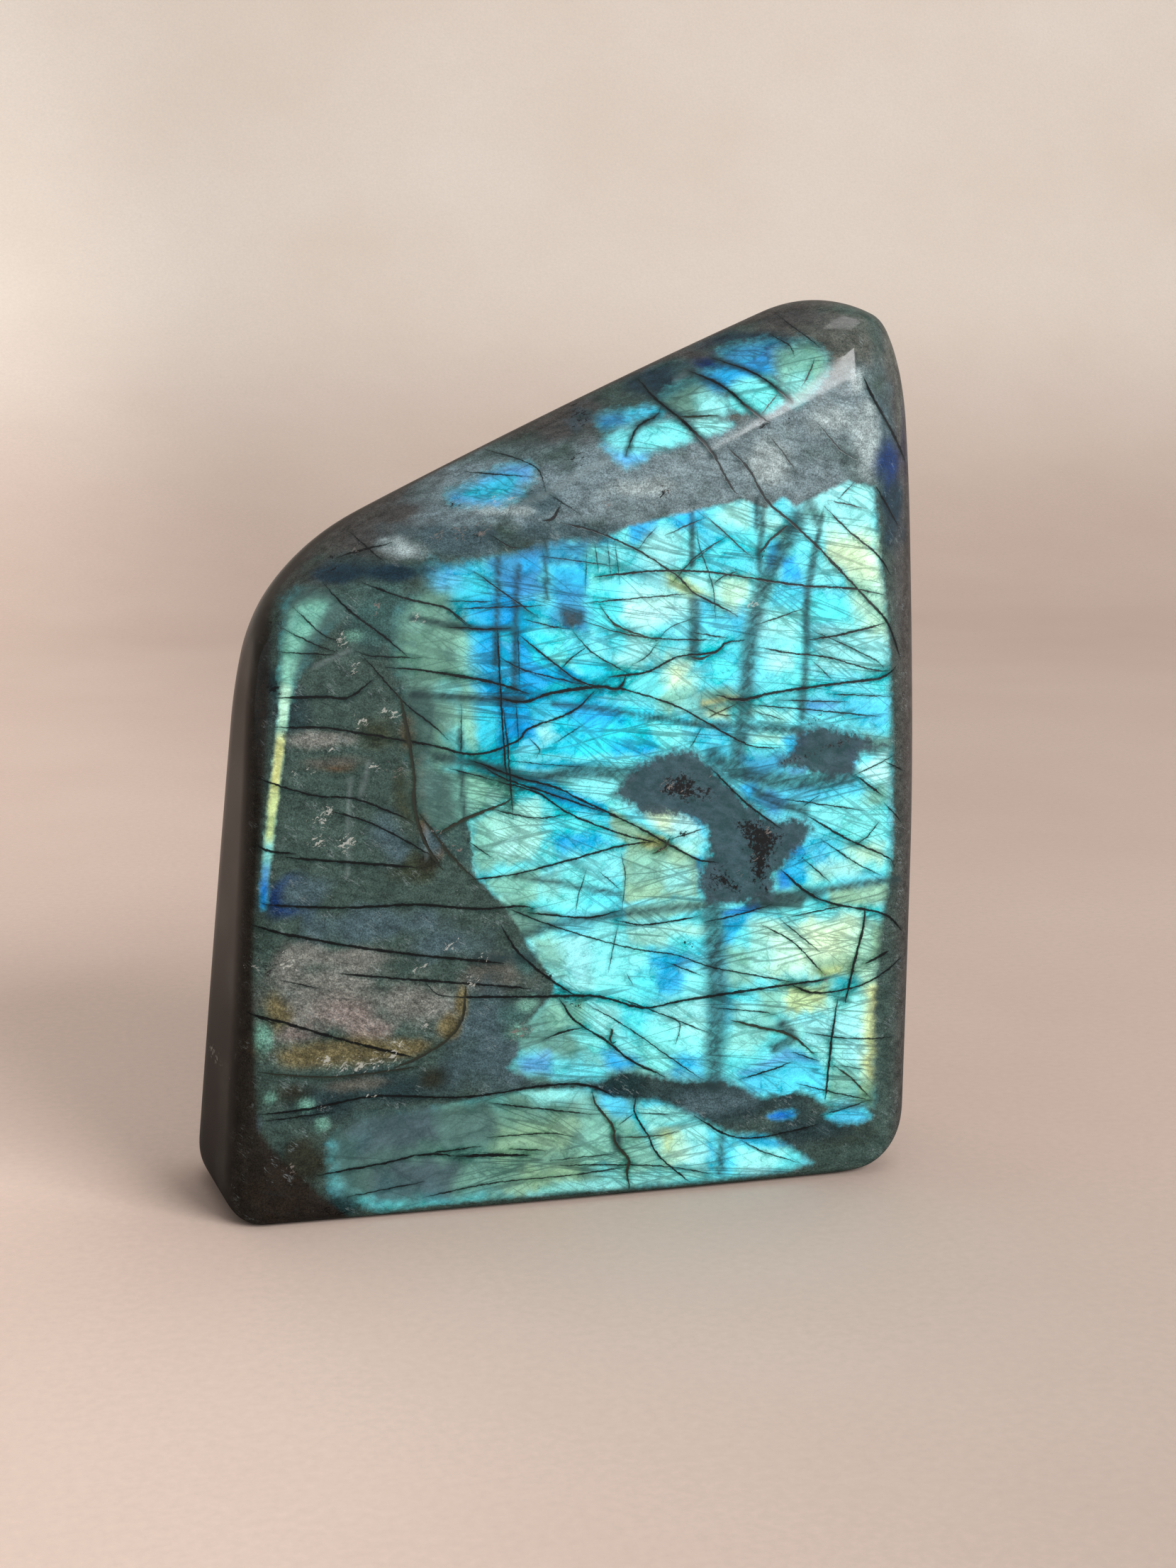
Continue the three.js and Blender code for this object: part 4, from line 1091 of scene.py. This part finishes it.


# How strongly the pale lines show; the widest, along the crease under the top front bevel, is a painted
# highlight.
def pale_lines_and_crease_highlight(places):
    shown = np.zeros(len(places))
    for width, line in lines_of(PALE_LINES_AND_CREASE_HIGHLIGHT):
        near = near_line(places, line, width + 1)
        best = from_line(places[near], curved(line))[0]
        shown[near] = np.maximum(shown[near], 1 - smoothstep(best, 0.1 * width, width + 0.3))
    return shown


def between(first, second, share):
    return first + (second - first) * share


def rest_colour(points, normals):
    """The sides, top and back: the left side is the darkest, and the back flashes dimly in streaks."""
    broad = cloud(points, 17, 3)[:, None]
    fine = cloud(points, 6, 4)[:, None]
    right = smoothstep(points[:, 0], -20, 20)[:, None]
    side = between(albedo("umber"), albedo("rim"), right * 0.85)
    side = between(side, albedo("bark"), smoothstep(fine, 0.45, 0.95) * 0.4)
    back = between(albedo("stone"), albedo("slate"), smoothstep(broad, 0.2, 0.8))
    back = between(back, albedo("bark"), smoothstep(fine, 0.5, 1.0) * 0.5)
    leaning = points * [1.0, 1.0, 1.7] + points[:, [2, 1, 0]] * [0.0, 0.0, 0.7]
    streaks = cloud(leaning, 13, 8) + 0.5 * cloud(leaning, 4, 18) + 0.35 * cloud(points, 1.5, 19)
    gleam = smoothstep(streaks, 0.95, 1.3)[:, None]
    hue = smoothstep(cloud(points, 9, 9), 0.3, 0.7)[:, None]
    back = between(back, between(albedo("sage"), albedo("steel"), hue), gleam * 0.6)
    return between(side, back, smoothstep(normals[:, 1], *BACK_COLOURING)[:, None])


def front_colour(places, wander):
    """The stone between the flashes, with its darker edges, and a painted sheen in its grey band on the top
    front bevel.
    """
    drawn = np.tile(albedo("stone"), (len(places), 1))
    drawn = between(drawn, albedo("rim"), smoothstep(places[:, 0], *RIM_EDGE)[:, None])
    drawn = paint_spots(places, wander, drawn, BODY_SPOTS)
    aside = -places[:, 0] - np.interp(places[:, 1], SIDE_HEIGHTS, SIDE_REACH)
    return between(drawn, albedo("umber"), smoothstep(aside, *SIDE_EDGE)[:, None] * SIDE_COVER)


def draw_on_stone(stone, points):
    """Keeps all that is drawn as numbers on the mesh's points; gives back how many crack layers."""
    mesh = stone.data
    normals = point_normals(mesh)
    facing = smoothstep(-normals[:, 1], *FRONT_FACING)
    front = np.flatnonzero(facing > 0)
    places = points[front][:, [0, 2]]
    shown = facing[front]
    turned = (shown - 0.5) * TURNING_DEPTH

    def store(name, values):
        """Keeps three numbers for every point."""
        attribute = mesh.attributes.new(name, "FLOAT_VECTOR", "POINT")
        attribute.data.foreach_set("vector", np.ascontiguousarray(values, np.float32).ravel())

    wander = (cloud(points[front], 2.6, 1) - 0.5) * 0.9 + (cloud(points[front], 0.9, 2) - 0.5) * 0.3
    stray = np.stack([
        cloud(points[front], 2.4, seed) + cloud(points[front], 0.8, seed + 1) - 1 for seed in (11, 13)
    ], 1)
    flash = np.tile(albedo("aqua"), (len(points), 1))
    painted = paint_spots(places, wander, flash[front], FLASH_SPOTS)
    painted = paint_cells(places, stray, painted)
    depths, softs = flash_edge(places, painted)
    flash[front] = painted
    store("flash_colour", flash)

    body = rest_colour(points, normals)
    body[front] = between(body[front], front_colour(places, wander), shown[:, None])
    store("body_colour", body)

    edge = np.tile([FAR_OUTSIDE, 0.5, 0.0], (len(points), 1))
    edge[front] = np.stack([np.minimum(depths, turned), softs, soft_bands(places) * shown], 1)
    store("flash_edge", edge)

    patches = np.full((len(points), 3), FAR_OUTSIDE)
    for column, outlines in enumerate((INCLUSION_SHAPES, GRAIN_SHAPES, FLAKY_SHAPES)):
        depth = np.maximum(deepest(places, outlines), FAR_OUTSIDE)
        patches[front, column] = np.minimum(depth, turned)
    store("patches", patches)

    outer = np.maximum(smoothstep(places[:, 0], *LINES_END_RIGHT), smoothstep(-places[:, 0], *LINES_END_LEFT))
    lines_shown = shown * (1 - outer) * (1 - LINES_LOST * smoothstep(-places[:, 0], *FEWER_LINES_LEFT))
    # Pale lines with the painted crease highlight, the crack shade, and how strongly the fine lines show
    accents = np.tile([0.0, 0.0, REST_LINES], (len(points), 1))
    accents[front] = np.stack([pale_lines_and_crease_highlight(places) * shown, crack_shade(places), lines_shown], 1)
    store("accents", accents)

    flecks = np.full((len(points), 3), FAR_OUTSIDE)
    for column, spots in enumerate((PALE_FLECKS, TAN_FLECKS, BLACK_FLECKS)):
        flecks[front, column] = depth_in_spots(places, spots)
    store("flecks", flecks)

    turned_away = smoothstep(normals[:, 1], *BACK_FACING)
    back = np.flatnonzero(turned_away > 0)
    layers = crack_layers(places, 1 - shown)
    back_layers = crack_layers(points[back][:, [0, 2]] + CRACK_DRIFT, 1 - turned_away[back])
    for number, values in enumerate(layers):
        whole = empty_layer(len(points))
        whole[front] = values
        if number < len(back_layers):
            whole[back] = back_layers[number]
        store(f"crack_layer_{number}", whole)
    return len(layers)


# Materials


class Nodes:
    """Adds nodes to a node tree. Each method gives back the new node's result."""

    def __init__(self, tree):
        self.tree = tree

    def node(self, kind, **settings):
        made = self.tree.nodes.new(kind)
        for name, value in settings.items():
            setattr(made, name, value)
        return made

    def plug(self, socket, value):
        if isinstance(value, bpy.types.NodeSocket):
            self.tree.links.new(value, socket)
        elif value is not None:
            socket.default_value = value

    def attribute(self, name):
        return self.node("ShaderNodeAttribute", attribute_name=name).outputs["Vector"]

    def parts(self, vector):
        made = self.node("ShaderNodeSeparateXYZ")
        self.plug(made.inputs[0], vector)
        return made.outputs

    def maths(self, operation, first, second=None, third=None):
        made = self.node("ShaderNodeMath", operation=operation)
        for socket, value in zip(made.inputs, (first, second, third)):
            self.plug(socket, value)
        return made.outputs[0]

    def times(self, first, second):
        return self.maths("MULTIPLY", first, second)

    def vector(self, operation, first, second):
        made = self.node("ShaderNodeVectorMath", operation=operation)
        self.plug(made.inputs[0], first)
        self.plug(made.inputs[1], second)
        return made.outputs[0]

    def step(self, value, low, high, at_low=0.0, at_high=1.0):
        """Goes smoothly from one result to the other while the value goes from low to high."""
        made = self.node("ShaderNodeMapRange", interpolation_type="SMOOTHSTEP")
        for socket, number in zip(made.inputs, (value, low, high, at_low, at_high)):
            self.plug(socket, number)
        return made.outputs[0]

    def mix(self, share, first, second, blend="MIX"):
        made = self.node("ShaderNodeMix", data_type="RGBA", blend_type=blend)
        colours = [socket for socket in made.inputs if socket.type == "RGBA"]
        self.plug(made.inputs["Factor"], share)
        for socket, colour in zip(colours, (first, second)):
            if isinstance(colour, (tuple, list, np.ndarray)):
                colour = (*colour[:3], 1.0)
            self.plug(socket, colour)
        return next(socket for socket in made.outputs if socket.type == "RGBA")

    def brightened(self, colour, share, darkest, brightest):
        """A colour multiplied by a grey between two, as the share goes from 0 to 1."""
        return self.mix(1.0, colour, self.mix(share, (darkest,) * 3, (brightest,) * 3), "MULTIPLY")

    def turned(self, place, turn, scale):
        """Places turned about Y by so many degrees, then scaled along x, y and z."""
        made = self.node("ShaderNodeMapping", vector_type="TEXTURE")
        self.plug(made.inputs["Vector"], place)
        made.inputs["Rotation"].default_value = (0, math.radians(turn), 0)
        return self.vector("MULTIPLY", made.outputs[0], scale)

    def noise(self, place, scale=1.0, detail=3.0, roughness=0.5, result="Fac"):
        made = self.node("ShaderNodeTexNoise")
        settings = {"Vector": place, "Scale": scale, "Detail": detail, "Roughness": roughness}
        for name, value in settings.items():
            self.plug(made.inputs[name], value)
        return made.outputs[result]

    def warped(self, place, scale, amount):
        """Places pushed about by a random field, by up to half the amount in millimetres."""
        push = self.vector("SUBTRACT", self.noise(place, scale, result="Color"), (0.5,) * 3)
        return self.vector("ADD", place, self.vector("MULTIPLY", push, (amount,) * 3))

    def cells(self, place, feature="F1"):
        made = self.node("ShaderNodeTexVoronoi", feature=feature)
        self.plug(made.inputs["Vector"], place)
        made.inputs["Scale"].default_value = 1.0
        return made.outputs


def millimetres(nodes):
    place = nodes.node("ShaderNodeTexCoord").outputs["Object"]
    return nodes.vector("MULTIPLY", place, (1 / MM,) * 3)


def new_material(name):
    """A material, its nodes and its shader."""
    material = bpy.data.materials.new(name)
    material.use_nodes = True
    return material, Nodes(material.node_tree), material.node_tree.nodes["Principled BSDF"]


# The polish: roughness where it is clearest and haziest, in cracks and on black grains
POLISH_ROUGHNESS = (0.07, 0.13)
CRACK_ROUGHNESS = 0.3
GRAIN_ROUGHNESS = 0.35
STONE_IOR = 1.5
STONE_SPECULAR = 0.4
# The slight bump of cracks and grains: its strength, its depth in mm and the grains' share of it
BUMP_STRENGTH = 0.25
BUMP_DEPTH = 0.02
GRAIN_BUMP = 0.6
# How fully each marking covers what lies under it, from 0 to 1
INCLUSION_COVER = 0.97
CRACK_COVER = 0.96
HALO_COVER = 0.82
FLAKY_COVER = 0.8
# The pale lines' cover also sets the strength of the painted crease highlight
PALE_LINE_AND_HIGHLIGHT_COVER = 0.25
# What is left of the colour beside dark and brown cracks
DARK_SHADE = (0.3, 0.42, 0.42)
BROWN_SHADE = (0.34, 0.33, 0.23)
# Turn in degrees, fineness along and across, and darkness of each family of fine lines, and their width
HAIRLINES = (
    (8, 0.05, 1.1, 0.85), (22, 0.05, 0.7, 0.7), (38, 0.06, 0.9, 0.65), (-32, 0.06, 0.7, 0.4),
    (-10, 0.05, 0.8, 0.8),
)
HAIRLINE_WIDTH = 0.04
WISP_DARKNESS = 0.5
# Small flecks: the part of the attribute, colour and cover
FLECK_LOOKS = ((2, "coal", 0.9), (0, "white", 0.5), (1, "mauve", 0.9))
# The middle stretch of a random field, over which brightness goes from its lowest to its highest
FIELD_RANGE = (0.28, 0.72)


def contour(nodes, field, width):
    """Thin lines where a field passes its middle value."""
    return nodes.step(nodes.maths("ABSOLUTE", nodes.maths("SUBTRACT", field, 0.5)), width, width * 0.2)


def stretch(nodes, level, fields):
    """A brightness multiplied by what each field gives between its two ends."""
    for field, low, high in fields:
        level = nodes.times(level, nodes.step(field, *FIELD_RANGE, low, high))
    return level


def shared_fields(nodes):
    """The random fields that several of the stone's looks are made from."""
    place = millimetres(nodes)
    bent = nodes.turned(nodes.warped(place, 0.35, 3.5), 14, (0.17, 0.2, 0.3))
    return SimpleNamespace(
        place=place,
        ragged=nodes.maths("SUBTRACT", nodes.noise(place, 1.2, 6.0, 0.7), 0.5),
        pepper=nodes.noise(place, 5.5, 2.0, 0.8),
        lumps=nodes.noise(place, 0.25, 4.0, 0.6),
        crumple=nodes.noise(nodes.turned(place, -38, (0.7, 1.2, 1.6)), 1.0, 7.0, 0.72),
        threads=nodes.noise(nodes.turned(place, -12, (0.3, 1.0, 3.0)), 1.0, 4.0, 0.6),
        smoke=nodes.noise(nodes.turned(place, 15, (0.5, 0.8, 0.9)), 1.0, 8.0, 0.75),
        flake=nodes.parts(nodes.cells(bent)["Color"]),
        margin=nodes.cells(bent, "DISTANCE_TO_EDGE")["Distance"],
    )


def flash_paint(nodes, field, crowding):
    """The flash: crumpled like foil, in flakes of uneven brightness with darker margins."""
    level = nodes.step(field.margin, 0.0, 0.2, 0.9, 1.06)
    shaded = nodes.times(crowding, nodes.step(field.crumple, 0.3, 0.7, 0.5, 1.5))
    level = nodes.times(level, nodes.step(shaded, 0.22, 1.85, 1.17, 0.33))
    level = stretch(nodes, level, (
        (field.crumple, 0.84, 1.16), (field.pepper, 0.84, 1.12),
        (field.threads, 0.93, 1.06), (field.lumps, 0.86, 1.1),
    ))
    level = nodes.times(level, nodes.step(field.flake[0], 0.0, 1.0, 0.94, 1.12))
    hue = nodes.node("ShaderNodeHueSaturation")
    turn = nodes.step(nodes.maths("ADD", field.flake[1], field.lumps), 0.4, 1.6, 0.49, 0.51)
    nodes.plug(hue.inputs["Hue"], turn)
    nodes.plug(hue.inputs["Saturation"], nodes.step(level, 0.4, 1.1, 1.25, 0.98))
    nodes.plug(hue.inputs["Value"], level)
    nodes.plug(hue.inputs["Color"], nodes.attribute("flash_colour"))
    return hue.outputs[0]


def body_paint(nodes, field, pale):
    """The stone between the flashes: smoky and grainy, with pale scratches that fade on the sides, and pale
    lines, the painted highlight along the crease among them.
    """
    depth = stretch(nodes, 1.0, (
        (field.smoke, 0.58, 1.46), (field.pepper, 0.52, 1.5),
        (field.threads, 0.92, 1.08), (field.lumps, 0.9, 1.08),
    ))
    body = nodes.vector("MULTIPLY", nodes.attribute("body_colour"), depth)
    normal = nodes.node("ShaderNodeTexCoord").outputs["Normal"]
    flat = nodes.step(nodes.maths("ABSOLUTE", nodes.parts(normal)[1]), 0.3, 0.9, 0.06, 0.35)
    drift = nodes.noise(nodes.turned(field.place, 38, (0.35, 0.3, 1.6)), 1.0, 3.0, 0.6)
    here = nodes.step(nodes.noise(field.place, 0.5, 3.0), 0.54, 0.62)
    scratches = nodes.times(contour(nodes, drift, 0.02), here)
    specks = nodes.step(nodes.noise(field.place, 2.1, 3.0, 0.7), 0.7, 0.76)
    marks = nodes.times(nodes.maths("MAXIMUM", scratches, specks), flat)
    body = nodes.mix(marks, body, albedo("silver"))
    # Pale lines over the body, the painted highlight along the crease among them
    return nodes.mix(nodes.times(pale, PALE_LINE_AND_HIGHLIGHT_COVER), body, albedo("silver"))


def cracks(nodes, count, place):
    """The darkest, the softest and the brownest of all crack layers at each place."""
    wobble = nodes.maths("SUBTRACT", nodes.noise(place, 1.1, 5.0, 0.75), 0.5)
    wobble = nodes.times(wobble, 0.5)
    thick = nodes.step(nodes.noise(place, 0.8, 3.0, 0.7), 0.25, 0.7, 0.45, 1.15)
    spread = nodes.step(nodes.noise(place, 0.45, 3.0, 0.6), 0.35, 0.65, 0.25, 0.85)
    core = halo = brown = 0.0
    for number in range(count):
        apart, half, tint = nodes.parts(nodes.attribute(f"crack_layer_{number}"))
        aside = nodes.maths("MULTIPLY_ADD", spread, 0.15, apart)
        apart = nodes.maths("ABSOLUTE", nodes.maths("ADD", apart, wobble))
        gap = nodes.maths("SUBTRACT", nodes.times(half, thick), apart)
        line = nodes.step(gap, -0.05, 0.015)
        line = nodes.times(line, nodes.step(half, 0.0, 0.09, 0.45, 1.0))
        shade = nodes.step(nodes.maths("DIVIDE", nodes.maths("ABSOLUTE", aside), spread), 1.0, 0.0)
        shade = nodes.times(shade, nodes.step(half, -0.1, 0.18, 0.0, 1.0))
        core = nodes.maths("MAXIMUM", core, line)
        halo = nodes.maths("MAXIMUM", halo, shade)
        brown = nodes.maths("MAXIMUM", brown, nodes.times(shade, tint))
    return core, halo, brown


def hairlines(nodes, place, turn, along, across):
    """Fine cleavage lines that run one way, here and there."""
    stretched = nodes.turned(place, turn, (along, 0.3, across))
    line = contour(nodes, nodes.noise(stretched, 1.0, 1.5, 0.5), HAIRLINE_WIDTH)
    return nodes.times(line, nodes.step(nodes.noise(stretched, 0.35, 2.0), 0.46, 0.58))


def fine_cracks(nodes, place, margin):
    """Fine lines of every kind, from 0 to 1."""
    shown = nodes.step(nodes.noise(place, 0.3, 3.0), 0.42, 0.54, 0.0, 0.45)
    fine = nodes.times(nodes.step(margin, 0.03, 0.0), shown)
    wisps = contour(nodes, nodes.noise(nodes.turned(place, 32, (0.3, 0.8, 1.2)), 1.0, 2.0, 0.5), 0.03)
    wisps = nodes.times(wisps, nodes.step(nodes.noise(place, 0.9, 2.0), 0.5, 0.62))
    for turn, along, across, strength in HAIRLINES:
        family = nodes.times(hairlines(nodes, place, turn, along, across), strength)
        fine = nodes.maths("MAXIMUM", fine, family)
    return nodes.maths("MAXIMUM", fine, nodes.times(wisps, WISP_DARKNESS))


def with_flakes(nodes, field, colour, body, depth):
    """Lays the flaky patches on, whose grain is bright and uneven."""
    flaky = nodes.step(nodes.maths("MULTIPLY_ADD", field.ragged, 2.0, depth), -0.1, 0.15)
    glints = nodes.noise(nodes.turned(field.place, 28, (1.1, 1.0, 2.0)), 1.4, 9.0, 0.8)
    bright = nodes.brightened(body, nodes.step(glints, 0.36, 0.72), 0.5, 2.0)
    return nodes.mix(nodes.times(flaky, FLAKY_COVER), colour, bright)


def inclusion_paint(nodes, field):
    grey = nodes.mix(nodes.step(field.smoke, 0.35, 0.65), albedo("murk"), albedo("iron"))
    return nodes.brightened(grey, field.pepper, 0.6, 1.4)


def grain_clusters(nodes, place, depth):
    """Where the black grains of a cluster are."""
    grains = nodes.noise(nodes.warped(place, 2.0, 0.6), 2.2, 5.0, 0.8)
    ragged = nodes.maths("MULTIPLY_ADD", nodes.maths("SUBTRACT", grains, 0.57), 9.0, depth)
    return nodes.step(ragged, -0.05, 0.1)


def with_flecks(nodes, place, colour):
    """Lays black grains, pale squiggles and tan specks on."""
    depths = nodes.parts(nodes.attribute("flecks"))
    slivers = nodes.turned(nodes.warped(place, 1.0, 1.2), -30, (0.8, 1.0, 2.4))
    sharp = nodes.maths("SUBTRACT", nodes.noise(slivers, 1.3, 4.0, 0.7), 0.57)
    for part, name, cover in FLECK_LOOKS:
        shown = nodes.step(nodes.maths("MULTIPLY_ADD", sharp, 7.0, depths[part]), 0.0, 0.12)
        colour = nodes.mix(nodes.times(shown, cover), colour, albedo(name))
    return colour


def stone_material(crack_count):
    material, nodes, shader = new_material("polished_labradorite")
    edge_depth, edge_soft, band = nodes.parts(nodes.attribute("flash_edge"))
    inclusion_depth, grain_depth, flaky_depth = nodes.parts(nodes.attribute("patches"))
    # Pale lines with the painted crease highlight, the crack shade, and how strongly the fine lines show
    pale, crowding, drawn = nodes.parts(nodes.attribute("accents"))
    field = shared_fields(nodes)
    flash = flash_paint(nodes, field, crowding)
    body = body_paint(nodes, field, pale)

    # Where the flash shows through, then the soft dark bands
    wander = nodes.times(field.ragged, nodes.maths("MULTIPLY_ADD", edge_soft, 1.2, 0.6))
    edge = nodes.maths("DIVIDE", nodes.maths("ADD", edge_depth, wander), edge_soft)
    colour = nodes.mix(nodes.step(edge, -1.0, 1.0), body, flash)
    banded = nodes.times(band, nodes.step(field.crumple, 0.3, 0.65, 0.95, 0.7))
    colour = nodes.mix(banded, colour, albedo("murk"))

    # Flaky patches, then inclusions
    colour = with_flakes(nodes, field, colour, body, flaky_depth)
    inclusion = nodes.step(nodes.maths("MULTIPLY_ADD", field.ragged, 3.0, inclusion_depth), -0.9, 0.5)
    colour = nodes.mix(nodes.times(inclusion, INCLUSION_COVER), colour, inclusion_paint(nodes, field))

    # The shade beside the cracks, fine lines, black grains, and the cracks themselves
    core, halo, brown = cracks(nodes, crack_count, field.place)
    shaded = nodes.mix(1.0, colour, nodes.mix(brown, DARK_SHADE, BROWN_SHADE), "MULTIPLY")
    colour = nodes.mix(nodes.times(halo, HALO_COVER), colour, shaded)
    bare = nodes.times(nodes.step(edge, -1.0, 1.0, 0.5, 1.0), nodes.step(inclusion, 0.0, 1.0, 0.68, 0.1))
    fine = nodes.times(fine_cracks(nodes, field.place, field.margin), nodes.times(drawn, bare))
    colour = nodes.mix(fine, colour, albedo("peat"))
    cluster = grain_clusters(nodes, field.place, grain_depth)
    colour = nodes.mix(cluster, colour, albedo("coal"))
    crack_colour = nodes.mix(brown, albedo("coal"), albedo("earth"))
    colour = nodes.mix(nodes.times(core, CRACK_COVER), colour, crack_colour)
    nodes.plug(shader.inputs["Base Color"], with_flecks(nodes, field.place, colour))

    # The polish
    rough = nodes.maths("MAXIMUM", nodes.times(cluster, GRAIN_ROUGHNESS), nodes.times(core, CRACK_ROUGHNESS))
    haze = nodes.step(nodes.noise(field.place, 0.5, 4.0, 0.6), 0.3, 0.7, *POLISH_ROUGHNESS)
    nodes.plug(shader.inputs["Roughness"], nodes.maths("MAXIMUM", rough, haze))
    shader.inputs["IOR"].default_value = STONE_IOR
    shader.inputs["Specular IOR Level"].default_value = STONE_SPECULAR
    bump = nodes.node("ShaderNodeBump", invert=True)
    bump.inputs["Strength"].default_value = BUMP_STRENGTH
    bump.inputs["Distance"].default_value = BUMP_DEPTH * MM
    nodes.plug(bump.inputs["Height"], nodes.maths("MAXIMUM", core, nodes.times(cluster, GRAIN_BUMP)))
    nodes.plug(shader.inputs["Normal"], bump.outputs[0])
    return material


# The floor and backdrop: one sheet that lies flat, curves up and stands behind, in millimetres
FLOOR_GAP = 0.05
FLOOR_NEAR = -1500.0
FLOOR_FAR = 520.0
FLOOR_HALF_WIDTH = 1600.0
BACKDROP_BEND = 420.0
BACKDROP_TOP = 1500.0
BEND_STEPS = 24
# The sheet's two shades near the floor and higher up, and the height at which it has changed
FLOOR_SHADES = ((0.50, 0.37, 0.31), (0.60, 0.48, 0.41))
BACKDROP_SHADES = ((0.70, 0.59, 0.50), (0.84, 0.76, 0.68))
SHADE_HEIGHT = 140.0
STAGE_ROUGHNESS = 0.85
# Painted light and shade on the sheet: it is painted brighter towards the left, more on the floor than high
# up, and painted darker near the camera
GLOW_PLACES = (50.0, -90.0)
GLOW_HEIGHTS = (320.0, 0.0)
GLOW = (0.04, 0.5)
NEAR_PLACES = (-160.0, -60.0)
NEAR_SHADE = (0.92, 1.0)
# How much darker the sheet is where the polish mirrors it, in front of the stone and behind it
MIRROR_PLACES = (-80.0, 200.0)
MIRROR_DIMMING = (0.92, 0.65)


def stage_material():
    material, nodes, shader = new_material("pale_card")
    place = millimetres(nodes)
    across, away, height = nodes.parts(place)
    lumps = nodes.noise(place, 0.008, 5.0, 0.6)
    grain = nodes.noise(place, 0.9, 3.0, 0.6)
    low = nodes.mix(lumps, *FLOOR_SHADES)
    high = nodes.mix(lumps, *BACKDROP_SHADES)
    colour = nodes.mix(nodes.step(height, 0.0, SHADE_HEIGHT), low, high)
    colour = nodes.brightened(colour, grain, 0.9, 1.08)
    # Painted light towards the left and painted shade near the camera, multiplied into the sheet's colour
    painted_light_and_shade = nodes.step(across, *GLOW_PLACES, 0.0, nodes.step(height, *GLOW_HEIGHTS, *GLOW))
    painted_light_and_shade = nodes.maths("ADD", painted_light_and_shade, nodes.step(away, *NEAR_PLACES, *NEAR_SHADE))
    colour = nodes.vector("MULTIPLY", colour, painted_light_and_shade)
    mirrored = nodes.node("ShaderNodeLightPath").outputs["Is Glossy Ray"]
    dimming = nodes.step(away, *MIRROR_PLACES, *MIRROR_DIMMING)
    colour = nodes.mix(nodes.times(mirrored, dimming), colour, (0.0, 0.0, 0.0))
    nodes.plug(shader.inputs["Base Color"], colour)
    shader.inputs["Roughness"].default_value = STAGE_ROUGHNESS
    return material


def build_stage():
    turns = np.linspace(0, np.pi / 2, BEND_STEPS)
    profile = [
        (FLOOR_NEAR, 0.0),
        *zip(FLOOR_FAR + BACKDROP_BEND * np.sin(turns), BACKDROP_BEND * (1 - np.cos(turns))),
        (FLOOR_FAR + BACKDROP_BEND, BACKDROP_TOP),
    ]
    points = []
    for y, z in profile:
        for x in (-FLOOR_HALF_WIDTH, FLOOR_HALF_WIDTH):
            points.append((x * MM, y * MM, (z - FLOOR_GAP) * MM))
    faces = [(2 * row, 2 * row + 1, 2 * row + 3, 2 * row + 2) for row in range(len(profile) - 1)]
    mesh = bpy.data.meshes.new("stage")
    mesh.from_pydata(points, [], faces)
    mesh.polygons.foreach_set("use_smooth", np.ones(len(faces), bool))
    mesh.materials.append(stage_material())
    stage = bpy.data.objects.new("stage", mesh)
    bpy.context.scene.collection.objects.link(stage)


def aim(obj, target):
    """Turns a camera or lamp so that it looks at a point."""
    obj.rotation_euler = (target - obj.location).to_track_quat("-Z", "Y").to_euler()


def build_camera():
    turn, lift = math.radians(CAMERA_TURN), math.radians(CAMERA_LIFT)
    aside = AIM_RIGHT * MM
    target = Vector((aside * math.cos(turn), aside * math.sin(turn), AIM_HEIGHT * MM))
    back = Vector((math.sin(turn) * math.cos(lift), -math.cos(turn) * math.cos(lift), math.sin(lift)))
    data = bpy.data.cameras.new("camera")
    data.sensor_width = SENSOR_SIZE
    data.lens = LENS
    data.clip_start = 0.01
    camera = bpy.data.objects.new("camera", data)
    camera.location = target + back * CAMERA_DISTANCE * MM
    bpy.context.scene.collection.objects.link(camera)
    aim(camera, target)
    bpy.context.scene.camera = camera


# Lamps: name, place and size in metres, power in watts, and whether the polish mirrors them
LAMPS = (
    ("key", (0.62, -0.95, 0.62), 0.7, 16, True),
    ("over", (0.42, 0.4, 1.3), 0.5, 1.2, True),
    ("fill", (0.42, 0.4, 1.3), 1.4, 7, False),
)
LAMP_TARGET = (0, 0, 0.05)
ROOM_COLOUR = (0.97, 0.99, 1.0, 1.0)
ROOM_LIGHT = 0.3


def build_light():
    for name, place, size, watts, mirrored in LAMPS:
        data = bpy.data.lights.new(name, "AREA")
        data.shape = "SQUARE"
        data.size = size
        data.energy = watts
        lamp = bpy.data.objects.new(name, data)
        lamp.location = place
        lamp.visible_glossy = mirrored
        bpy.context.scene.collection.objects.link(lamp)
        aim(lamp, Vector(LAMP_TARGET))
    world = bpy.data.worlds.new("room")
    world.use_nodes = True
    background = world.node_tree.nodes["Background"]
    background.inputs["Color"].default_value = ROOM_COLOUR
    background.inputs["Strength"].default_value = ROOM_LIGHT
    bpy.context.scene.world = world
    bpy.context.scene.view_settings.view_transform = "Standard"


build_camera()
build_light()
build_stage()
stone, stone_points = build_stone()
crack_count = draw_on_stone(stone, stone_points)
stone.data.materials.append(stone_material(crack_count))
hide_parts("labradorite_stone")
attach(stone, "root")
